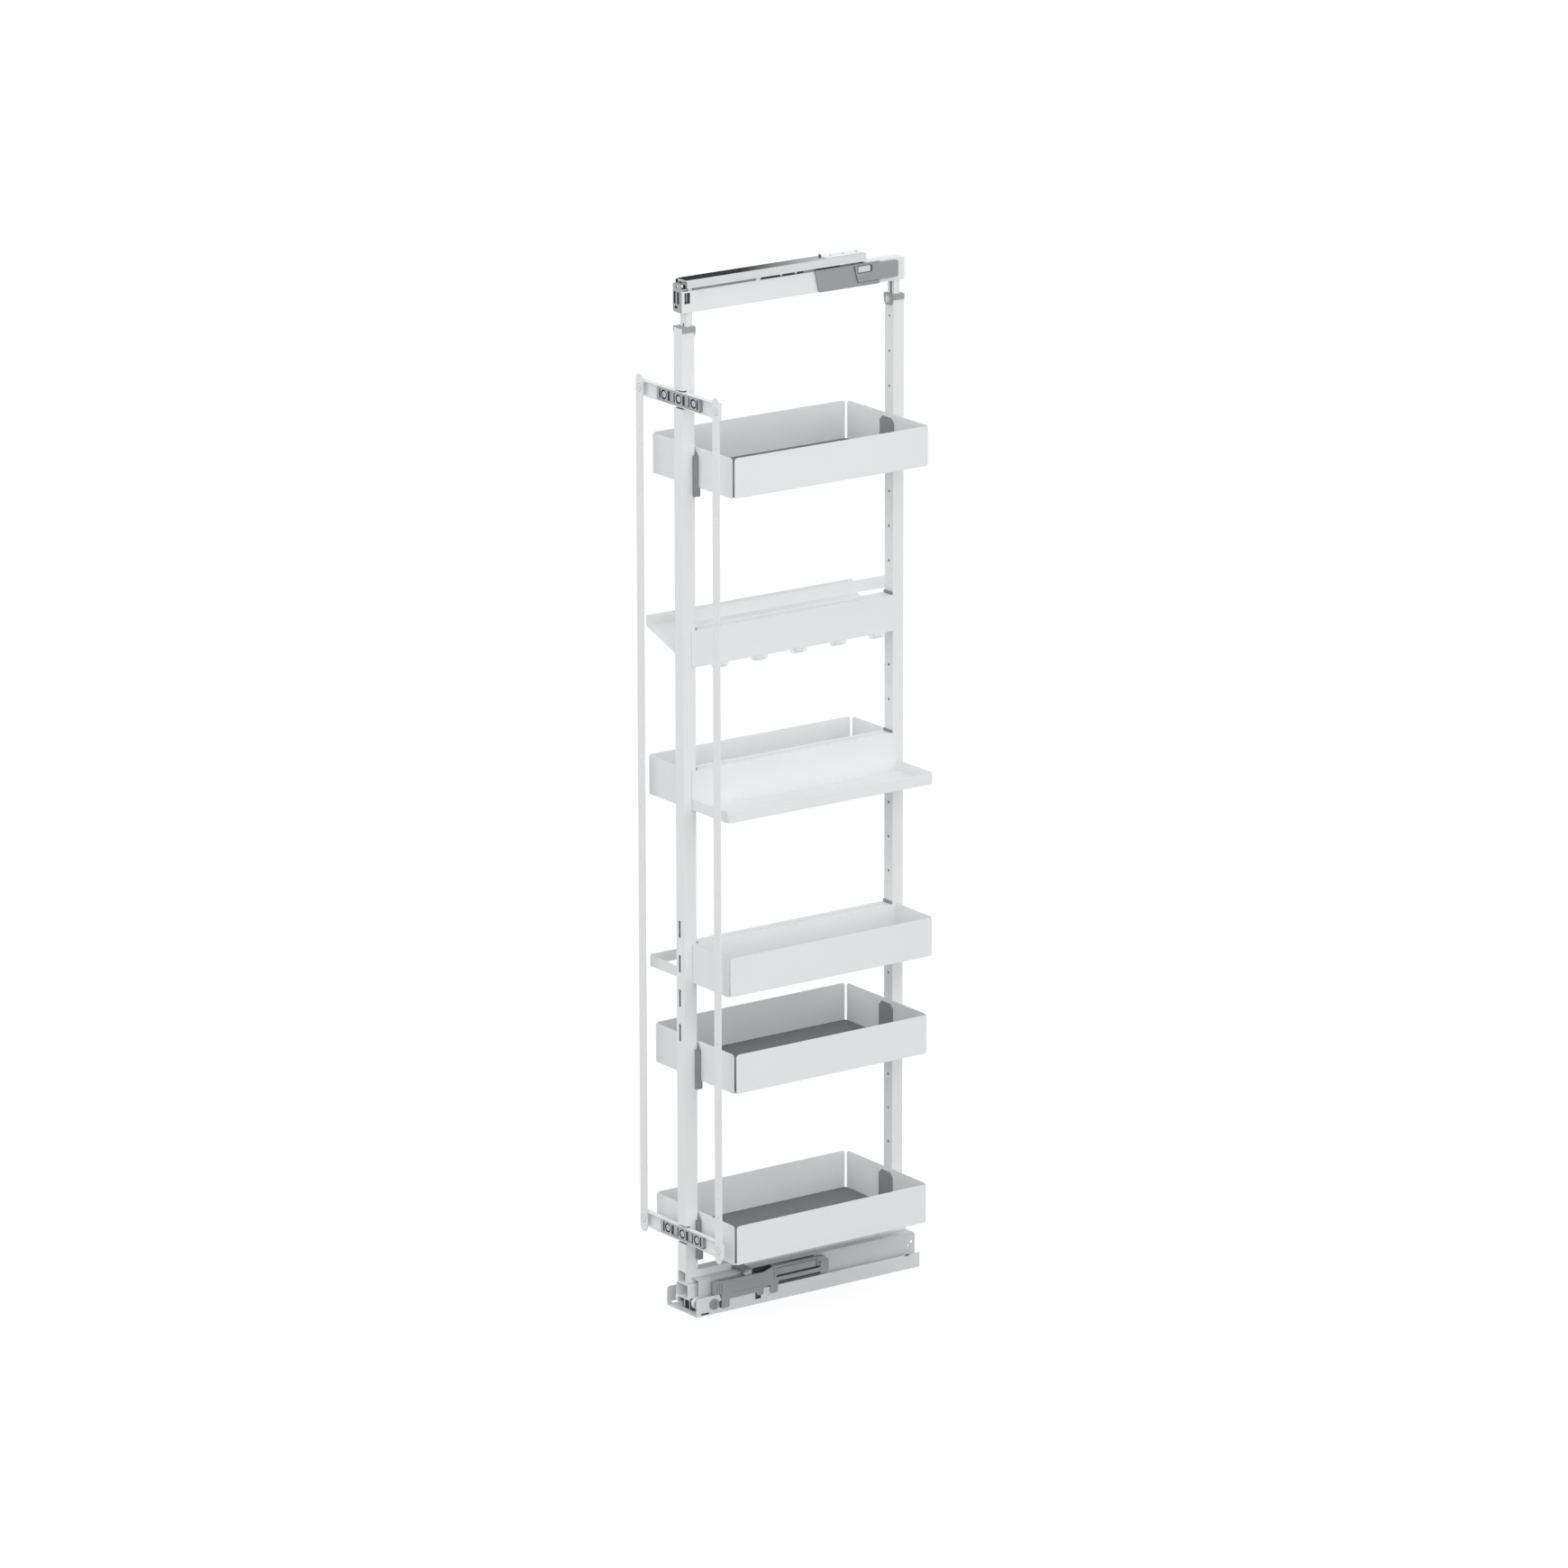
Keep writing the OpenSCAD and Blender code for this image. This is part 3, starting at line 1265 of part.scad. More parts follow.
module hook_panel() {
    top = side_z(hook_level_hole);
    low = top - hook_panel_h;
    r = 8;
    color(white) {
        difference() {
            side_panel(top, hook_panel_h);
            along_x([side_x0 - 1, side_x0 + tray_t + 1]) for (s = [0, 1]) translate([mid_y, 0]) mirror([s, 0]) difference() {
                area([side_len / 2 - r, side_len / 2 + 1], [low - 1, low + r]);
                translate([side_len / 2 - r, low + r]) circle(r);
            }
        }
        for (k = [0 : hook_count - 1])
            translate([side_x0, mid_y + (k - (hook_count - 1) / 2) * hook_pitch - hook_lead, low]) hook();
    }
}

module tilted_shelf() {
    top = side_z(hook_level_hole);
    outer = top - lip_h;
    inner = outer - shelf_drop;
    cut_y = side_y1 - 80;
    color(white) mirror([1, 0, 0]) {
        side_panel(top, top - inner);
        along_y([side_y0, side_y1]) area([side_x1 - tray_t, side_x1], [outer - tray_t, top]);
        difference() {
            along_y([side_y0, side_y1]) polygon([
                [side_x0, inner], [side_x0, inner + tray_t], [side_x1, outer + tray_t - eps], [side_x1, outer - tray_t],
                [side_x1 - tray_t, outer - tray_t]
            ]);
            slab([side_x0 + 30, side_x0 + 45], [cut_y, cut_y + 25], [inner - 5, outer + 5]);
        }
    }
}

module guard_rail() {
    x = [-9, -9 + tray_t];
    z = [hole_z(hook_level_hole) + guard_rise, hole_z(hook_level_hole) + guard_rise + guard_h];
    color(white) {
        slab(x, [front_y1, rear_y0], z);
        slab([x[0], -x[0]], [front_y1, front_y1 + tray_t], z);
        slab([x[0], -x[0]], [rear_y0 - tray_t, rear_y0], z);
    }
}

// Door front

module door_strip(x) {
    r = strip_w / 2;
    extras = [arm_zs[1] - extra_drop, arm_zs[0] + extra_rise];
    difference() {
        along_y([door_y, strip_y1]) {
            area([x - r, x + r], [strip_z0 + r, strip_z1 - r]);
            for (z = [strip_z0 + r, strip_z1 - r]) translate([x, z]) circle(r);
        }
        for (k = [1 : door_holes]) bar_y(door_hole_d / 2, x, [door_y - 1, strip_y1 + 1], arm_z + k * door_pitch);
        for (z = extras) bar_y(door_hole_d / 2, x, [door_y - 1, strip_y1 + 1], z);
        for (z = arm_zs) {
            bar_y(rivet_r + 0.1, x, [door_y - 1, strip_y1 + 1], z);
            bar_y(rivet_head_r + 0.1, x, [door_y - 1, door_y + rivet_sink], z);
        }
    }
}

module door_strips() {
    color(white) for (s = [-1, 1]) door_strip(s * strip_half);
}

module door_arm(z) {
    half = arm_len / 2;
    top = arm_h / 2;
    window_x = boss_half + side_travel + 0.6;
    difference() {
        union() {
            slab([-back_half, back_half], [arm_y1 - arm_t, arm_y1], [z - top, z + top]);
            for (s = [z - top, z + top - arm_t]) slab([-channel_half, channel_half], [arm_y0, arm_y1], [s, s + arm_t]);
            on_both_sides() along_y([arm_y0, arm_y0 + arm_t]) round_area([ear_x0, half], [z - top, z + top], ear_corner_r);
        }
        slab([-window_x, window_x], [arm_y1 - arm_t - 1, arm_y1 + 1], [z - 7.6, z + 7.6]);
        for (s = [-1, 1]) bar_y(rivet_r + 0.1, s * strip_half, [arm_y0 - 1, arm_y0 + arm_t + 1], z);
    }
}

module door_arms() {
    color(white) for (z = arm_zs) door_arm(z);
}

module door_adjuster(z) {
    half = adjuster_h / 2;
    x = [-adjuster_len / 2 - adjuster_shift, adjuster_len / 2 - adjuster_shift];
    difference() {
        union() {
            along_y([adjuster_y0, adjuster_y1]) round_area(x, [z - half, z + half], 2);
            slab([-boss_half, boss_half], [adjuster_y1 - 1, notch_y1], [z - 7, z + 7]);
        }
        for (s = [-1 : 1]) {
            bar_y(adjuster_screw_r + 0.1, s * adjuster_screw_x, [adjuster_y0 - 1, notch_y1 + 1], z);
            bar_y(screw_pocket_r, s * adjuster_screw_x, [adjuster_y0 - 1, screw_seat_y], z);
        }
        // pockets and ribs on the face
        for (s = [-1, 1]) {
            slab([s * pocket_x - pocket_half, s * pocket_x + pocket_half], [adjuster_y0 - 1, adjuster_y0 + 1.5],
                [z - half + 3, z + half - 3]);
            slab([s * end_pocket_x - 2, s * end_pocket_x + 2], [adjuster_y0 - 1, adjuster_y0 + 2], [z - half + 3, z + half - 3]);
        }
    }
}

module door_adjusters() {
    color(zinc) for (z = arm_zs) door_adjuster(z);
}

module adjuster_screw(x, z, y1) {
    head_r = 5.5;
    head_t = 2.4;
    cut_y = [screw_seat_y - head_t - 1, screw_seat_y - 1];
    difference() {
        union() {
            bar_y(adjuster_screw_r, x, [screw_seat_y - head_t / 2, y1], z);
            bar_y(head_r, x, [screw_seat_y - head_t, screw_seat_y], z);
        }
        slab([x - 4, x + 4], cut_y, [z - 0.8, z + 0.8]);
        slab([x - 0.8, x + 0.8], cut_y, [z - 4, z + 4]);
    }
}

module adjuster_screws() {
    color(metal) for (z = arm_zs) {
        adjuster_screw(0, z, notch_y1 + notch_plate_t + inner_room / 2);
        for (s = [-1, 1]) adjuster_screw(s * adjuster_screw_x, z, adjuster_y1);
    }
}

module strip_rivets() {
    tail = strip_y1 + arm_t;
    color(metal) for (s = [-1, 1], z = arm_zs) difference() {
        union() {
            bar_y(rivet_r, s * strip_half, [door_y + 0.5, tail + 1], z);
            bar_y(rivet_head_r, s * strip_half, [door_y, door_y + rivet_sink], z);
            bar_y(rivet_tail_r, s * strip_half, [tail, tail + 1.6], z);
        }
        bar_y(1.4, s * strip_half, [door_y - 1, door_y + 0.6], z);
    }
}

floor_rail();
roller_bracket();
floor_axles();
floor_rollers_front();
floor_rollers_rear();
side_guide_screw();
soft_close_housing();
damper_cylinder();
piston_rod();
catch_slider();
middle_rail();
lower_beam();
carriage();
carriage_axles();
carriage_rollers_front();
carriage_rollers_rear();
activator_arm();
front_upright();
rear_upright();
upright_collars();
clamp_screws();
inner_tubes();
top_beam();
front_end_bracket();
rear_end_cap();
top_runner();
inner_ball_cages();
inner_balls();
top_middle_rail();
outer_ball_cages();
outer_balls();
ceiling_rail();
top_damper_housing();
top_damper_cap();
damper_window();
side_hanger_clips();
tray_hangers();
full_tray(top_tray_hole);  // top_tray
full_tray(lower_tray_hole);  // lower_tray
full_tray(bottom_tray_hole);  // bottom_tray
mat(top_tray_hole);  // top_mat
mat(lower_tray_hole);  // lower_mat
mat(bottom_tray_hole);  // bottom_mat
tray_studs(top_tray_hole);  // top_tray_studs
tray_studs(lower_tray_hole);  // lower_tray_studs
tray_studs(bottom_tray_hole);  // bottom_tray_studs
hook_panel();
tilted_shelf();
guard_rail();
left_deep_tray();
right_shallow_tray();
right_deep_tray();
left_ring();
door_strips();
door_arms();
door_adjusters();
adjuster_screws();
strip_rivets();
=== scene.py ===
import bpy
import bmesh
import json
import math
from mathutils import Matrix, Vector


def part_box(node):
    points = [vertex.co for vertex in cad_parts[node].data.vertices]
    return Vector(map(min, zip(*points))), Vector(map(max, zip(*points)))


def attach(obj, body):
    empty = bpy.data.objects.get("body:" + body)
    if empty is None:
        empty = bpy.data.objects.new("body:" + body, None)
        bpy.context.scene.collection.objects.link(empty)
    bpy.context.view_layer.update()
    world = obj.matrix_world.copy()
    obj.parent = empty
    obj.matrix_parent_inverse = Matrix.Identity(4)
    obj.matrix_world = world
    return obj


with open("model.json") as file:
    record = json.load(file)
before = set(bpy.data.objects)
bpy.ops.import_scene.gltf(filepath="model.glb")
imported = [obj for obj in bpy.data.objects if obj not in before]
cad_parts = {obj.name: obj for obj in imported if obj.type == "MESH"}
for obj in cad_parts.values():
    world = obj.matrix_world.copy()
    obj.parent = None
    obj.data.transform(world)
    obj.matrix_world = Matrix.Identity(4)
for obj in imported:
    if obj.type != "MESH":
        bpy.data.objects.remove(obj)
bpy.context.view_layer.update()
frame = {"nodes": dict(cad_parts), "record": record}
scene = bpy.context.scene
scene.view_settings.view_transform = "Standard"
mm = 0.001


# colour and node helpers

def hexColor(text):
    channels = [int(text[i:i + 2], 16) / 255 for i in (1, 3, 5)]
    linear = [c / 12.92 if c <= 0.04045 else ((c + 0.055) / 1.055) ** 2.4 for c in channels]
    return (*linear, 1.0)


def addNode(tree, kind, settings=None, links=None):
    # a socket goes by its name, or by its number where sockets share a name
    node = tree.nodes.new(kind)
    for name, value in (settings or {}).items():
        if isinstance(name, int) or name in node.inputs:
            node.inputs[name].default_value = value
        else:
            setattr(node, name, value)
    for name, source in (links or {}).items():
        tree.links.new(source, node.inputs[name])
    return node


def newMaterial(name):
    material = bpy.data.materials.new(name)
    material.use_nodes = True
    material.node_tree.nodes.clear()
    return material, material.node_tree


def closeMaterial(tree, shader):
    addNode(tree, "ShaderNodeOutputMaterial", links={"Surface": shader.outputs[0]})


# camera at the photograph's viewing angle

cameraView = dict(azimuth=54.304, elevation=15.549, roll=-0.081, focal=215.72, sensor=36.0, farthest=100,
                  target=(0.0, -0.020, 0.960), distance=16.7526, shiftRight=0.00061, shiftUp=0.01358)


def placeCamera(v):
    az = math.radians(v["azimuth"])
    el = math.radians(v["elevation"])
    back = Vector((math.sin(az) * math.cos(el), -math.cos(az) * math.cos(el), math.sin(el)))
    right = Vector((math.cos(az), math.sin(az), 0))
    up = back.cross(right)
    turn = math.radians(v["roll"])
    rightTurned = math.cos(turn) * right + math.sin(turn) * up
    upTurned = -math.sin(turn) * right + math.cos(turn) * up
    aim = Vector(v["target"]) - v["shiftRight"] * rightTurned - v["shiftUp"] * upTurned
    data = bpy.data.cameras.new("camera")
    data.sensor_width = v["sensor"]
    data.lens = v["focal"]
    data.clip_end = v["farthest"]
    camera = bpy.data.objects.new("camera", data)
    turned = Matrix((rightTurned, upTurned, back)).transposed()
    camera.matrix_world = Matrix.Translation(aim + v["distance"] * back) @ turned.to_4x4()
    scene.collection.objects.link(camera)
    scene.camera = camera


placeCamera(cameraView)
print("camera placed")


# materials

def powderCoat(name, dark, light):
    # polyester powder baked on steel: a near-white satin skin with a fine orange peel
    material, tree = newMaterial(name)
    where = addNode(tree, "ShaderNodeTexCoord")
    peel = addNode(tree, "ShaderNodeTexNoise", {"Scale": 1 / (1.6 * mm), "Detail": 2.0, "Roughness": 0.45},
                   {"Vector": where.outputs["Object"]})
    cloud = addNode(tree, "ShaderNodeTexNoise", {"Scale": 1 / (120 * mm), "Detail": 3.0},
                    {"Vector": where.outputs["Object"]})
    tone = addNode(tree, "ShaderNodeMix", {"data_type": "RGBA", "A": hexColor(dark), "B": hexColor(light)},
                   {"Factor": cloud.outputs["Fac"]})
    gloss = addNode(tree, "ShaderNodeMapRange", {"To Min": 0.40, "To Max": 0.50},
                    {"Value": peel.outputs["Fac"]})
    bump = addNode(tree, "ShaderNodeBump", {"Strength": 0.05, "Distance": 0.1 * mm},
                   {"Height": peel.outputs["Fac"]})
    shader = addNode(tree, "ShaderNodeBsdfPrincipled", {"IOR": 1.5},
                     {"Base Color": tone.outputs["Result"], "Roughness": gloss.outputs["Result"],
                      "Normal": bump.outputs["Normal"]})
    closeMaterial(tree, shader)
    return material


def brushedMetal(name, dark, light, rough, grain, stretch):
    # steel drawn through rolls: fine streaks along the length break up its reflections
    material, tree = newMaterial(name)
    where = addNode(tree, "ShaderNodeTexCoord")
    along = addNode(tree, "ShaderNodeMapping", {"Scale": (1.0, 1 / stretch, 1.0)},
                    {"Vector": where.outputs["Object"]})
    streak = addNode(tree, "ShaderNodeTexNoise", {"Scale": 1 / (grain * mm), "Detail": 3.0},
                     {"Vector": along.outputs["Vector"]})
    tone = addNode(tree, "ShaderNodeMix", {"data_type": "RGBA", "A": hexColor(dark), "B": hexColor(light)},
                   {"Factor": streak.outputs["Fac"]})
    gloss = addNode(tree, "ShaderNodeMapRange", {"To Min": rough * 0.8, "To Max": rough * 1.25},
                    {"Value": streak.outputs["Fac"]})
    shader = addNode(tree, "ShaderNodeBsdfPrincipled", {"Metallic": 1.0},
                     {"Base Color": tone.outputs["Result"], "Roughness": gloss.outputs["Result"]})
    closeMaterial(tree, shader)
    return material


def mouldedPlastic(name, dark, light, rough, grain, depth):
    # injection moulded nylon or ABS: an even colour with the fine spark texture of the tool
    material, tree = newMaterial(name)
    where = addNode(tree, "ShaderNodeTexCoord")
    spark = addNode(tree, "ShaderNodeTexNoise", {"Scale": 1 / (grain * mm), "Detail": 2.0},
                    {"Vector": where.outputs["Object"]})
    tone = addNode(tree, "ShaderNodeMix", {"data_type": "RGBA", "A": hexColor(dark), "B": hexColor(light)},
                   {"Factor": spark.outputs["Fac"]})
    bump = addNode(tree, "ShaderNodeBump", {"Strength": 0.15, "Distance": depth * mm},
                   {"Height": spark.outputs["Fac"]})
    shader = addNode(tree, "ShaderNodeBsdfPrincipled", {"IOR": 1.5, "Roughness": rough},
                     {"Base Color": tone.outputs["Result"], "Normal": bump.outputs["Normal"]})
    closeMaterial(tree, shader)
    return material


def antiSlipMat():
    # thin foamed mat: a dull mid grey with a pressed grid of small pips
    material, tree = newMaterial("anti-slip foam mat")
    where = addNode(tree, "ShaderNodeTexCoord")
    pips = addNode(tree, "ShaderNodeTexVoronoi", {"Scale": 1 / (4 * mm), "Randomness": 0.0},
                   {"Vector": where.outputs["Object"]})
    tone = addNode(tree, "ShaderNodeMix",
                   {"data_type": "RGBA", "A": hexColor("#88898b"), "B": hexColor("#77787a")},
                   {"Factor": pips.outputs["Distance"]})
    bump = addNode(tree, "ShaderNodeBump", {"Strength": 0.4, "Distance": 0.3 * mm, "invert": True},
                   {"Height": pips.outputs["Distance"]})
    shader = addNode(tree, "ShaderNodeBsdfPrincipled", {"IOR": 1.45, "Roughness": 0.75},
                     {"Base Color": tone.outputs["Result"], "Normal": bump.outputs["Normal"]})
    closeMaterial(tree, shader)
    return material


finishes = {
    "white_powder_coat": powderCoat("white powder coated steel", "#eff0f1", "#f4f5f6"),
    "galvanised_steel": brushedMetal("galvanised steel strip", "#c9cbcd", "#d8dadc", 0.38, 0.8, 12),
    "chrome_steel": brushedMetal("bright drawn steel", "#cfd1d3", "#dddfe1", 0.09, 0.8, 30),
    "die_cast_zinc": brushedMetal("die-cast zinc", "#9a9ca0", "#b2b4b7", 0.34, 1.2, 1),
    "grey_plastic": mouldedPlastic("grey moulded nylon", "#8e9092", "#999b9d", 0.5, 0.7, 0.05),
    "damper_plastic": mouldedPlastic("grey moulded acetal", "#9a9c9e", "#a2a4a6", 0.38, 0.7, 0.03),
    "anti_slip_mat": antiSlipMat(),
    "white_nylon": mouldedPlastic("white moulded nylon", "#ececea", "#f3f3f1", 0.42, 0.7, 0.03),
    "pale_window": mouldedPlastic("pale moulded ABS", "#dcdddf", "#e6e7e8", 0.25, 0.7, 0.02),
}

# darker copies of the white powder coat for the floor rail and the middle rail: painted shade, standing in
# for the shade under the bottom tray
shadedRailCoat = powderCoat("painted-shade white powder coat, floor rail", "#e1e3e5", "#e7e9eb")
shadedTrackCoat = powderCoat("painted-shade white powder coat, middle rail", "#d7d9db", "#dddfe1")
greyPaint = mouldedPlastic("grey painted zinc", "#8a8c8e", "#949698", 0.42, 0.7, 0.03)
collarNylon = mouldedPlastic("pale grey moulded nylon", "#9fa1a3", "#aaacae", 0.5, 0.7, 0.05)
knobNylon = mouldedPlastic("light grey moulded nylon", "#b9bbbd", "#c3c5c6", 0.4, 0.7, 0.03)
blackAcetal = mouldedPlastic("black moulded acetal", "#262728", "#303132", 0.55, 0.7, 0.03)
darkAcetal = mouldedPlastic("dark moulded acetal", "#4c4d4f", "#58595b", 0.5, 0.7, 0.03)
finishByNode = {"floor_rail": shadedRailCoat, "middle_rail": shadedTrackCoat, "tray_hangers": greyPaint,
                "activator_arm": finishes["grey_plastic"], "top_runner": finishes["galvanised_steel"],
                "upright_collars": collarNylon}

for part in frame["record"]["subparts"]:
    node = frame["nodes"][part["node"]]
    node.data.materials.clear()
    node.data.materials.append(finishByNode.get(part["node"], finishes[part["material_slot"]]))
print("finishes set on", len(frame["nodes"]), "nodes")


# soft edges on the sheet and moulded parts, with radii in millimetres

edgeRadius = {"sheet": 0.35, "front_upright": 1.2, "rear_upright": 1.2, "top_damper_housing": 0.8,
              "top_damper_cap": 0.7, "soft_close_housing": 0.5, "upright_collars": 0.6, "door_strips": 0.6,
              "rear_end_cap": 0.8, "top_beam": 0.5, "side_guide_screw": 0.6, "front_end_bracket": 0.5}
edgeWork = dict(weld=0.01, flatAngle=0.5, cornerAngle=35, segments=2, weight=100)


def softenEdges(node, width, v=edgeWork):
    weld = node.modifiers.new("weld", "WELD")
    weld.merge_threshold = v["weld"] * mm
    flat = node.modifiers.new("flat", "DECIMATE")
    flat.decimate_type = "DISSOLVE"
    flat.angle_limit = math.radians(v["flatAngle"])
    bevel = node.modifiers.new("edge", "BEVEL")
    bevel.width = width * mm
    bevel.segments = v["segments"]
    bevel.limit_method = "ANGLE"
    bevel.angle_limit = math.radians(v["cornerAngle"])
    even = node.modifiers.new("even", "WEIGHTED_NORMAL")
    even.weight = v["weight"]
    for face in node.data.polygons:
        face.use_smooth = True


for name, node in frame["nodes"].items():
    if "ball" not in name:
        softenEdges(node, edgeRadius.get(name, edgeRadius["sheet"]))
print("edges softened")


# tools for the small pieces; places and sizes are in millimetres

axes = {"x": Vector((1, 0, 0)), "y": Vector((0, 1, 0)), "z": Vector((0, 0, 1))}
sideways = {"x": Vector((0, 1, 0)), "y": Vector((1, 0, 0)), "z": Vector((1, 0, 0))}
doublesWithin = 0.001


def nodeBox(name):
    return [Vector(corner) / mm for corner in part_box(name)]


def newPiece(name, shape, body, slot, finish=None, edge=None):
    bmesh.ops.remove_doubles(shape, verts=shape.verts, dist=doublesWithin * mm)
    bmesh.ops.recalc_face_normals(shape, faces=shape.faces)
    mesh = bpy.data.meshes.new(name)
    shape.to_mesh(mesh)
    shape.free()
    for face in mesh.polygons:
        face.use_smooth = True
    piece = bpy.data.objects.new(name, mesh)
    mesh.materials.append(finish or finishes[slot])
    scene.collection.objects.link(piece)
    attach(piece, body)
    if edge:
        softenEdges(piece, edge)


def lathe(shape, profile, center, axis, steps=40):
    middle = Vector(center) * mm
    verts = [shape.verts.new(middle + (sideways[axis] * r + axes[axis] * h) * mm) for r, h in profile]
    edges = [shape.edges.new(pair) for pair in zip(verts, verts[1:])]
    bmesh.ops.spin(shape, geom=verts + edges, cent=middle, axis=axes[axis], angle=2 * math.pi,
                   steps=steps, use_merge=True, use_duplicate=False)


def stud(shape, center, axis, v):
    # a low round head with an eased rim
    profile = [(v["radius"], -v["sink"]), (v["radius"], v["step"]), (v["flat"], v["proud"]), (0, v["proud"])]
    lathe(shape, profile, center, axis, v["sides"])


def arc(cx, cy, r, start, end, steps=6):
    turns = [math.radians(start + (end - start) * i / steps) for i in range(steps + 1)]
    return [(cx + r * math.cos(a), cy + r * math.sin(a)) for a in turns]


def roundBox(x0, x1, y0, y1, r):
    return (arc(x1 - r, y1 - r, r, 0, 90) + arc(x0 + r, y1 - r, r, 90, 180)
            + arc(x0 + r, y0 + r, r, 180, 270) + arc(x1 - r, y0 + r, r, 270, 360))


def area(u0, u1, v0, v1):
    return [(u0, v0), (u1, v0), (u1, v1), (u0, v1)]


def onSide(points, x):
    return [Vector((x, u, v)) * mm for u, v in points]


def onFront(points, y):
    return [Vector((u, y, v)) * mm for u, v in points]


def onTop(points, z):
    return [Vector((u, v, z)) * mm for u, v in points]


def prism(shape, lay, outline, low, high):
    face = shape.faces.new([shape.verts.new(p) for p in lay(outline, low)])
    grown = bmesh.ops.extrude_face_region(shape, geom=[face])["geom"]
    rise = lay(outline[:1], high)[0] - lay(outline[:1], low)[0]
    bmesh.ops.translate(shape, vec=rise, verts=[g for g in grown if isinstance(g, bmesh.types.BMVert)])


def loft(shape, loops, capped):
    # the first closed loop is drawn out through the others, which have as many points
    ring = [shape.verts.new(p) for p in loops[0]]
    edges = [shape.edges.new(pair) for pair in zip(ring, ring[1:] + ring[:1])]
    ends = [ring]
    for loop in loops[1:]:
        grown = set(bmesh.ops.extrude_edge_only(shape, edges=edges)["geom"])
        ring = [next(e.other_vert(v) for e in v.link_edges if e.other_vert(v) in grown) for v in ring]
        for vert, place in zip(ring, loop):
            vert.co = place
        edges = [shape.edges.get(pair) for pair in zip(ring, ring[1:] + ring[:1])]
    ends.append(ring)
    if capped:
        for end in ends:
            shape.faces.new(end)


def easeTowards(points, others, share):
    return [(a[0] + (b[0] - a[0]) * share, a[1] + (b[1] - a[1]) * share) for a, b in zip(points, others)]


# bearing shields in the rollers' ring recesses

rollerSets = [
    dict(name="frontFloorBearings", node="floor_rollers_front", body="front_floor_rollers"),
    dict(name="rearFloorBearings", node="floor_rollers_rear", body="rear_floor_rollers"),
    dict(name="frontCarriageBearings", node="carriage_rollers_front", body="front_carriage_rollers"),
    dict(name="rearCarriageBearings", node="carriage_rollers_rear", body="rear_carriage_rollers"),
]
bearing = dict(bore=3.3, hub=5.45, rim=3.05, recess=1.0, width=7.1, proud=0.12, lap=0.02,
               groove=((0.3, -0.5), (0.7, -0.55)), grooveEnd=0.9, ease=0.25, easeDrop=0.1)


def makeBearings(item, v):
    low, high = nodeBox(item["node"])
    middle = (low + high) / 2
    outer = (high.z - low.z) / 2 - v["rim"]
    profile = [(v["bore"], v["lap"]), (v["bore"], v["proud"]), (v["hub"], v["proud"])]
    profile += [(v["hub"] + beyond, deep) for beyond, deep in v["groove"]]
    profile += [(v["hub"] + v["grooveEnd"], v["proud"]), (outer - v["ease"], v["proud"]),
                (outer, -v["easeDrop"]), (outer, v["lap"] - v["recess"])]
    shape = bmesh.new()
    for side in (-1, 1):
        for face, way in ((high.x, 1), (high.x - v["width"], -1)):
            turned = [(r, h * side * way) for r, h in profile]
            lathe(shape, turned, (side * face, middle.y, middle.z), "x")
    newPiece(item["name"], shape, item["body"], "galvanised_steel")


for item in rollerSets:
    makeBearings(item, bearing)
print("bearings made")


# trim of the top damper: a dark seam round the cap that paints the shadow of its gap, window frame and three
# pins

damperTrim = dict(seamWidth=1.0, seamProud=0.25, seamLap=0.2, seamSink=0.3, seamEnd=3.0,
                  slant=8.0, corner=4.0,
                  frameWidth=1.0, frameRight=3.6, frameTop=0.8, frameLap=0.4, frameRadius=2.2, holeRadius=1.6,
                  frameSink=0.7, frameProud=0.3, frameShoulder=0.4, frameSoft=0.15,
                  pinDrop=10.5, pinPlaces=(4.0, 12.5, 21.0))
capPin = dict(radius=0.9, flat=0.63, step=0.15, proud=0.25, sink=0.3, sides=16)


def makeCapShadowSeam(capLow, capHigh, shellHigh, v):
    lean = math.atan(v["slant"] / (capHigh.z - capLow.z))
    foot = capLow.y + v["slant"] + v["corner"] * (1 - math.sin(lean)) / math.cos(lean)
    path = [(capLow.y, capHigh.z)]
    path += arc(foot, capLow.z + v["corner"], v["corner"], 180 + math.degrees(lean), 270)
    path += [(shellHigh.y - v["seamEnd"], capLow.z)]
    wide, proud, lap, sink = v["seamWidth"], v["seamProud"], v["seamLap"], v["seamSink"]
    section = [(-lap, -sink), (-lap, proud), (wide - lap, proud), (wide, proud - lap), (wide, -sink)]
    loops = []
    for i, (y, z) in enumerate(path):
        ahead = path[min(i + 1, len(path) - 1)]
        behind = path[max(i - 1, 0)]
        along = Vector((ahead[0] - behind[0], ahead[1] - behind[1])).normalized()
        loops.append([Vector((shellHigh.x + up, y + along.y * across, z - along.x * across)) * mm
                      for across, up in section])
    # the seam is a dark strip a little proud of the housing: painted shadow of the gap round the cap
    seam = bmesh.new()
    loft(seam, loops, True)
    newPiece("capShadowSeam", seam, "top_unit", "damper_plastic", darkAcetal)


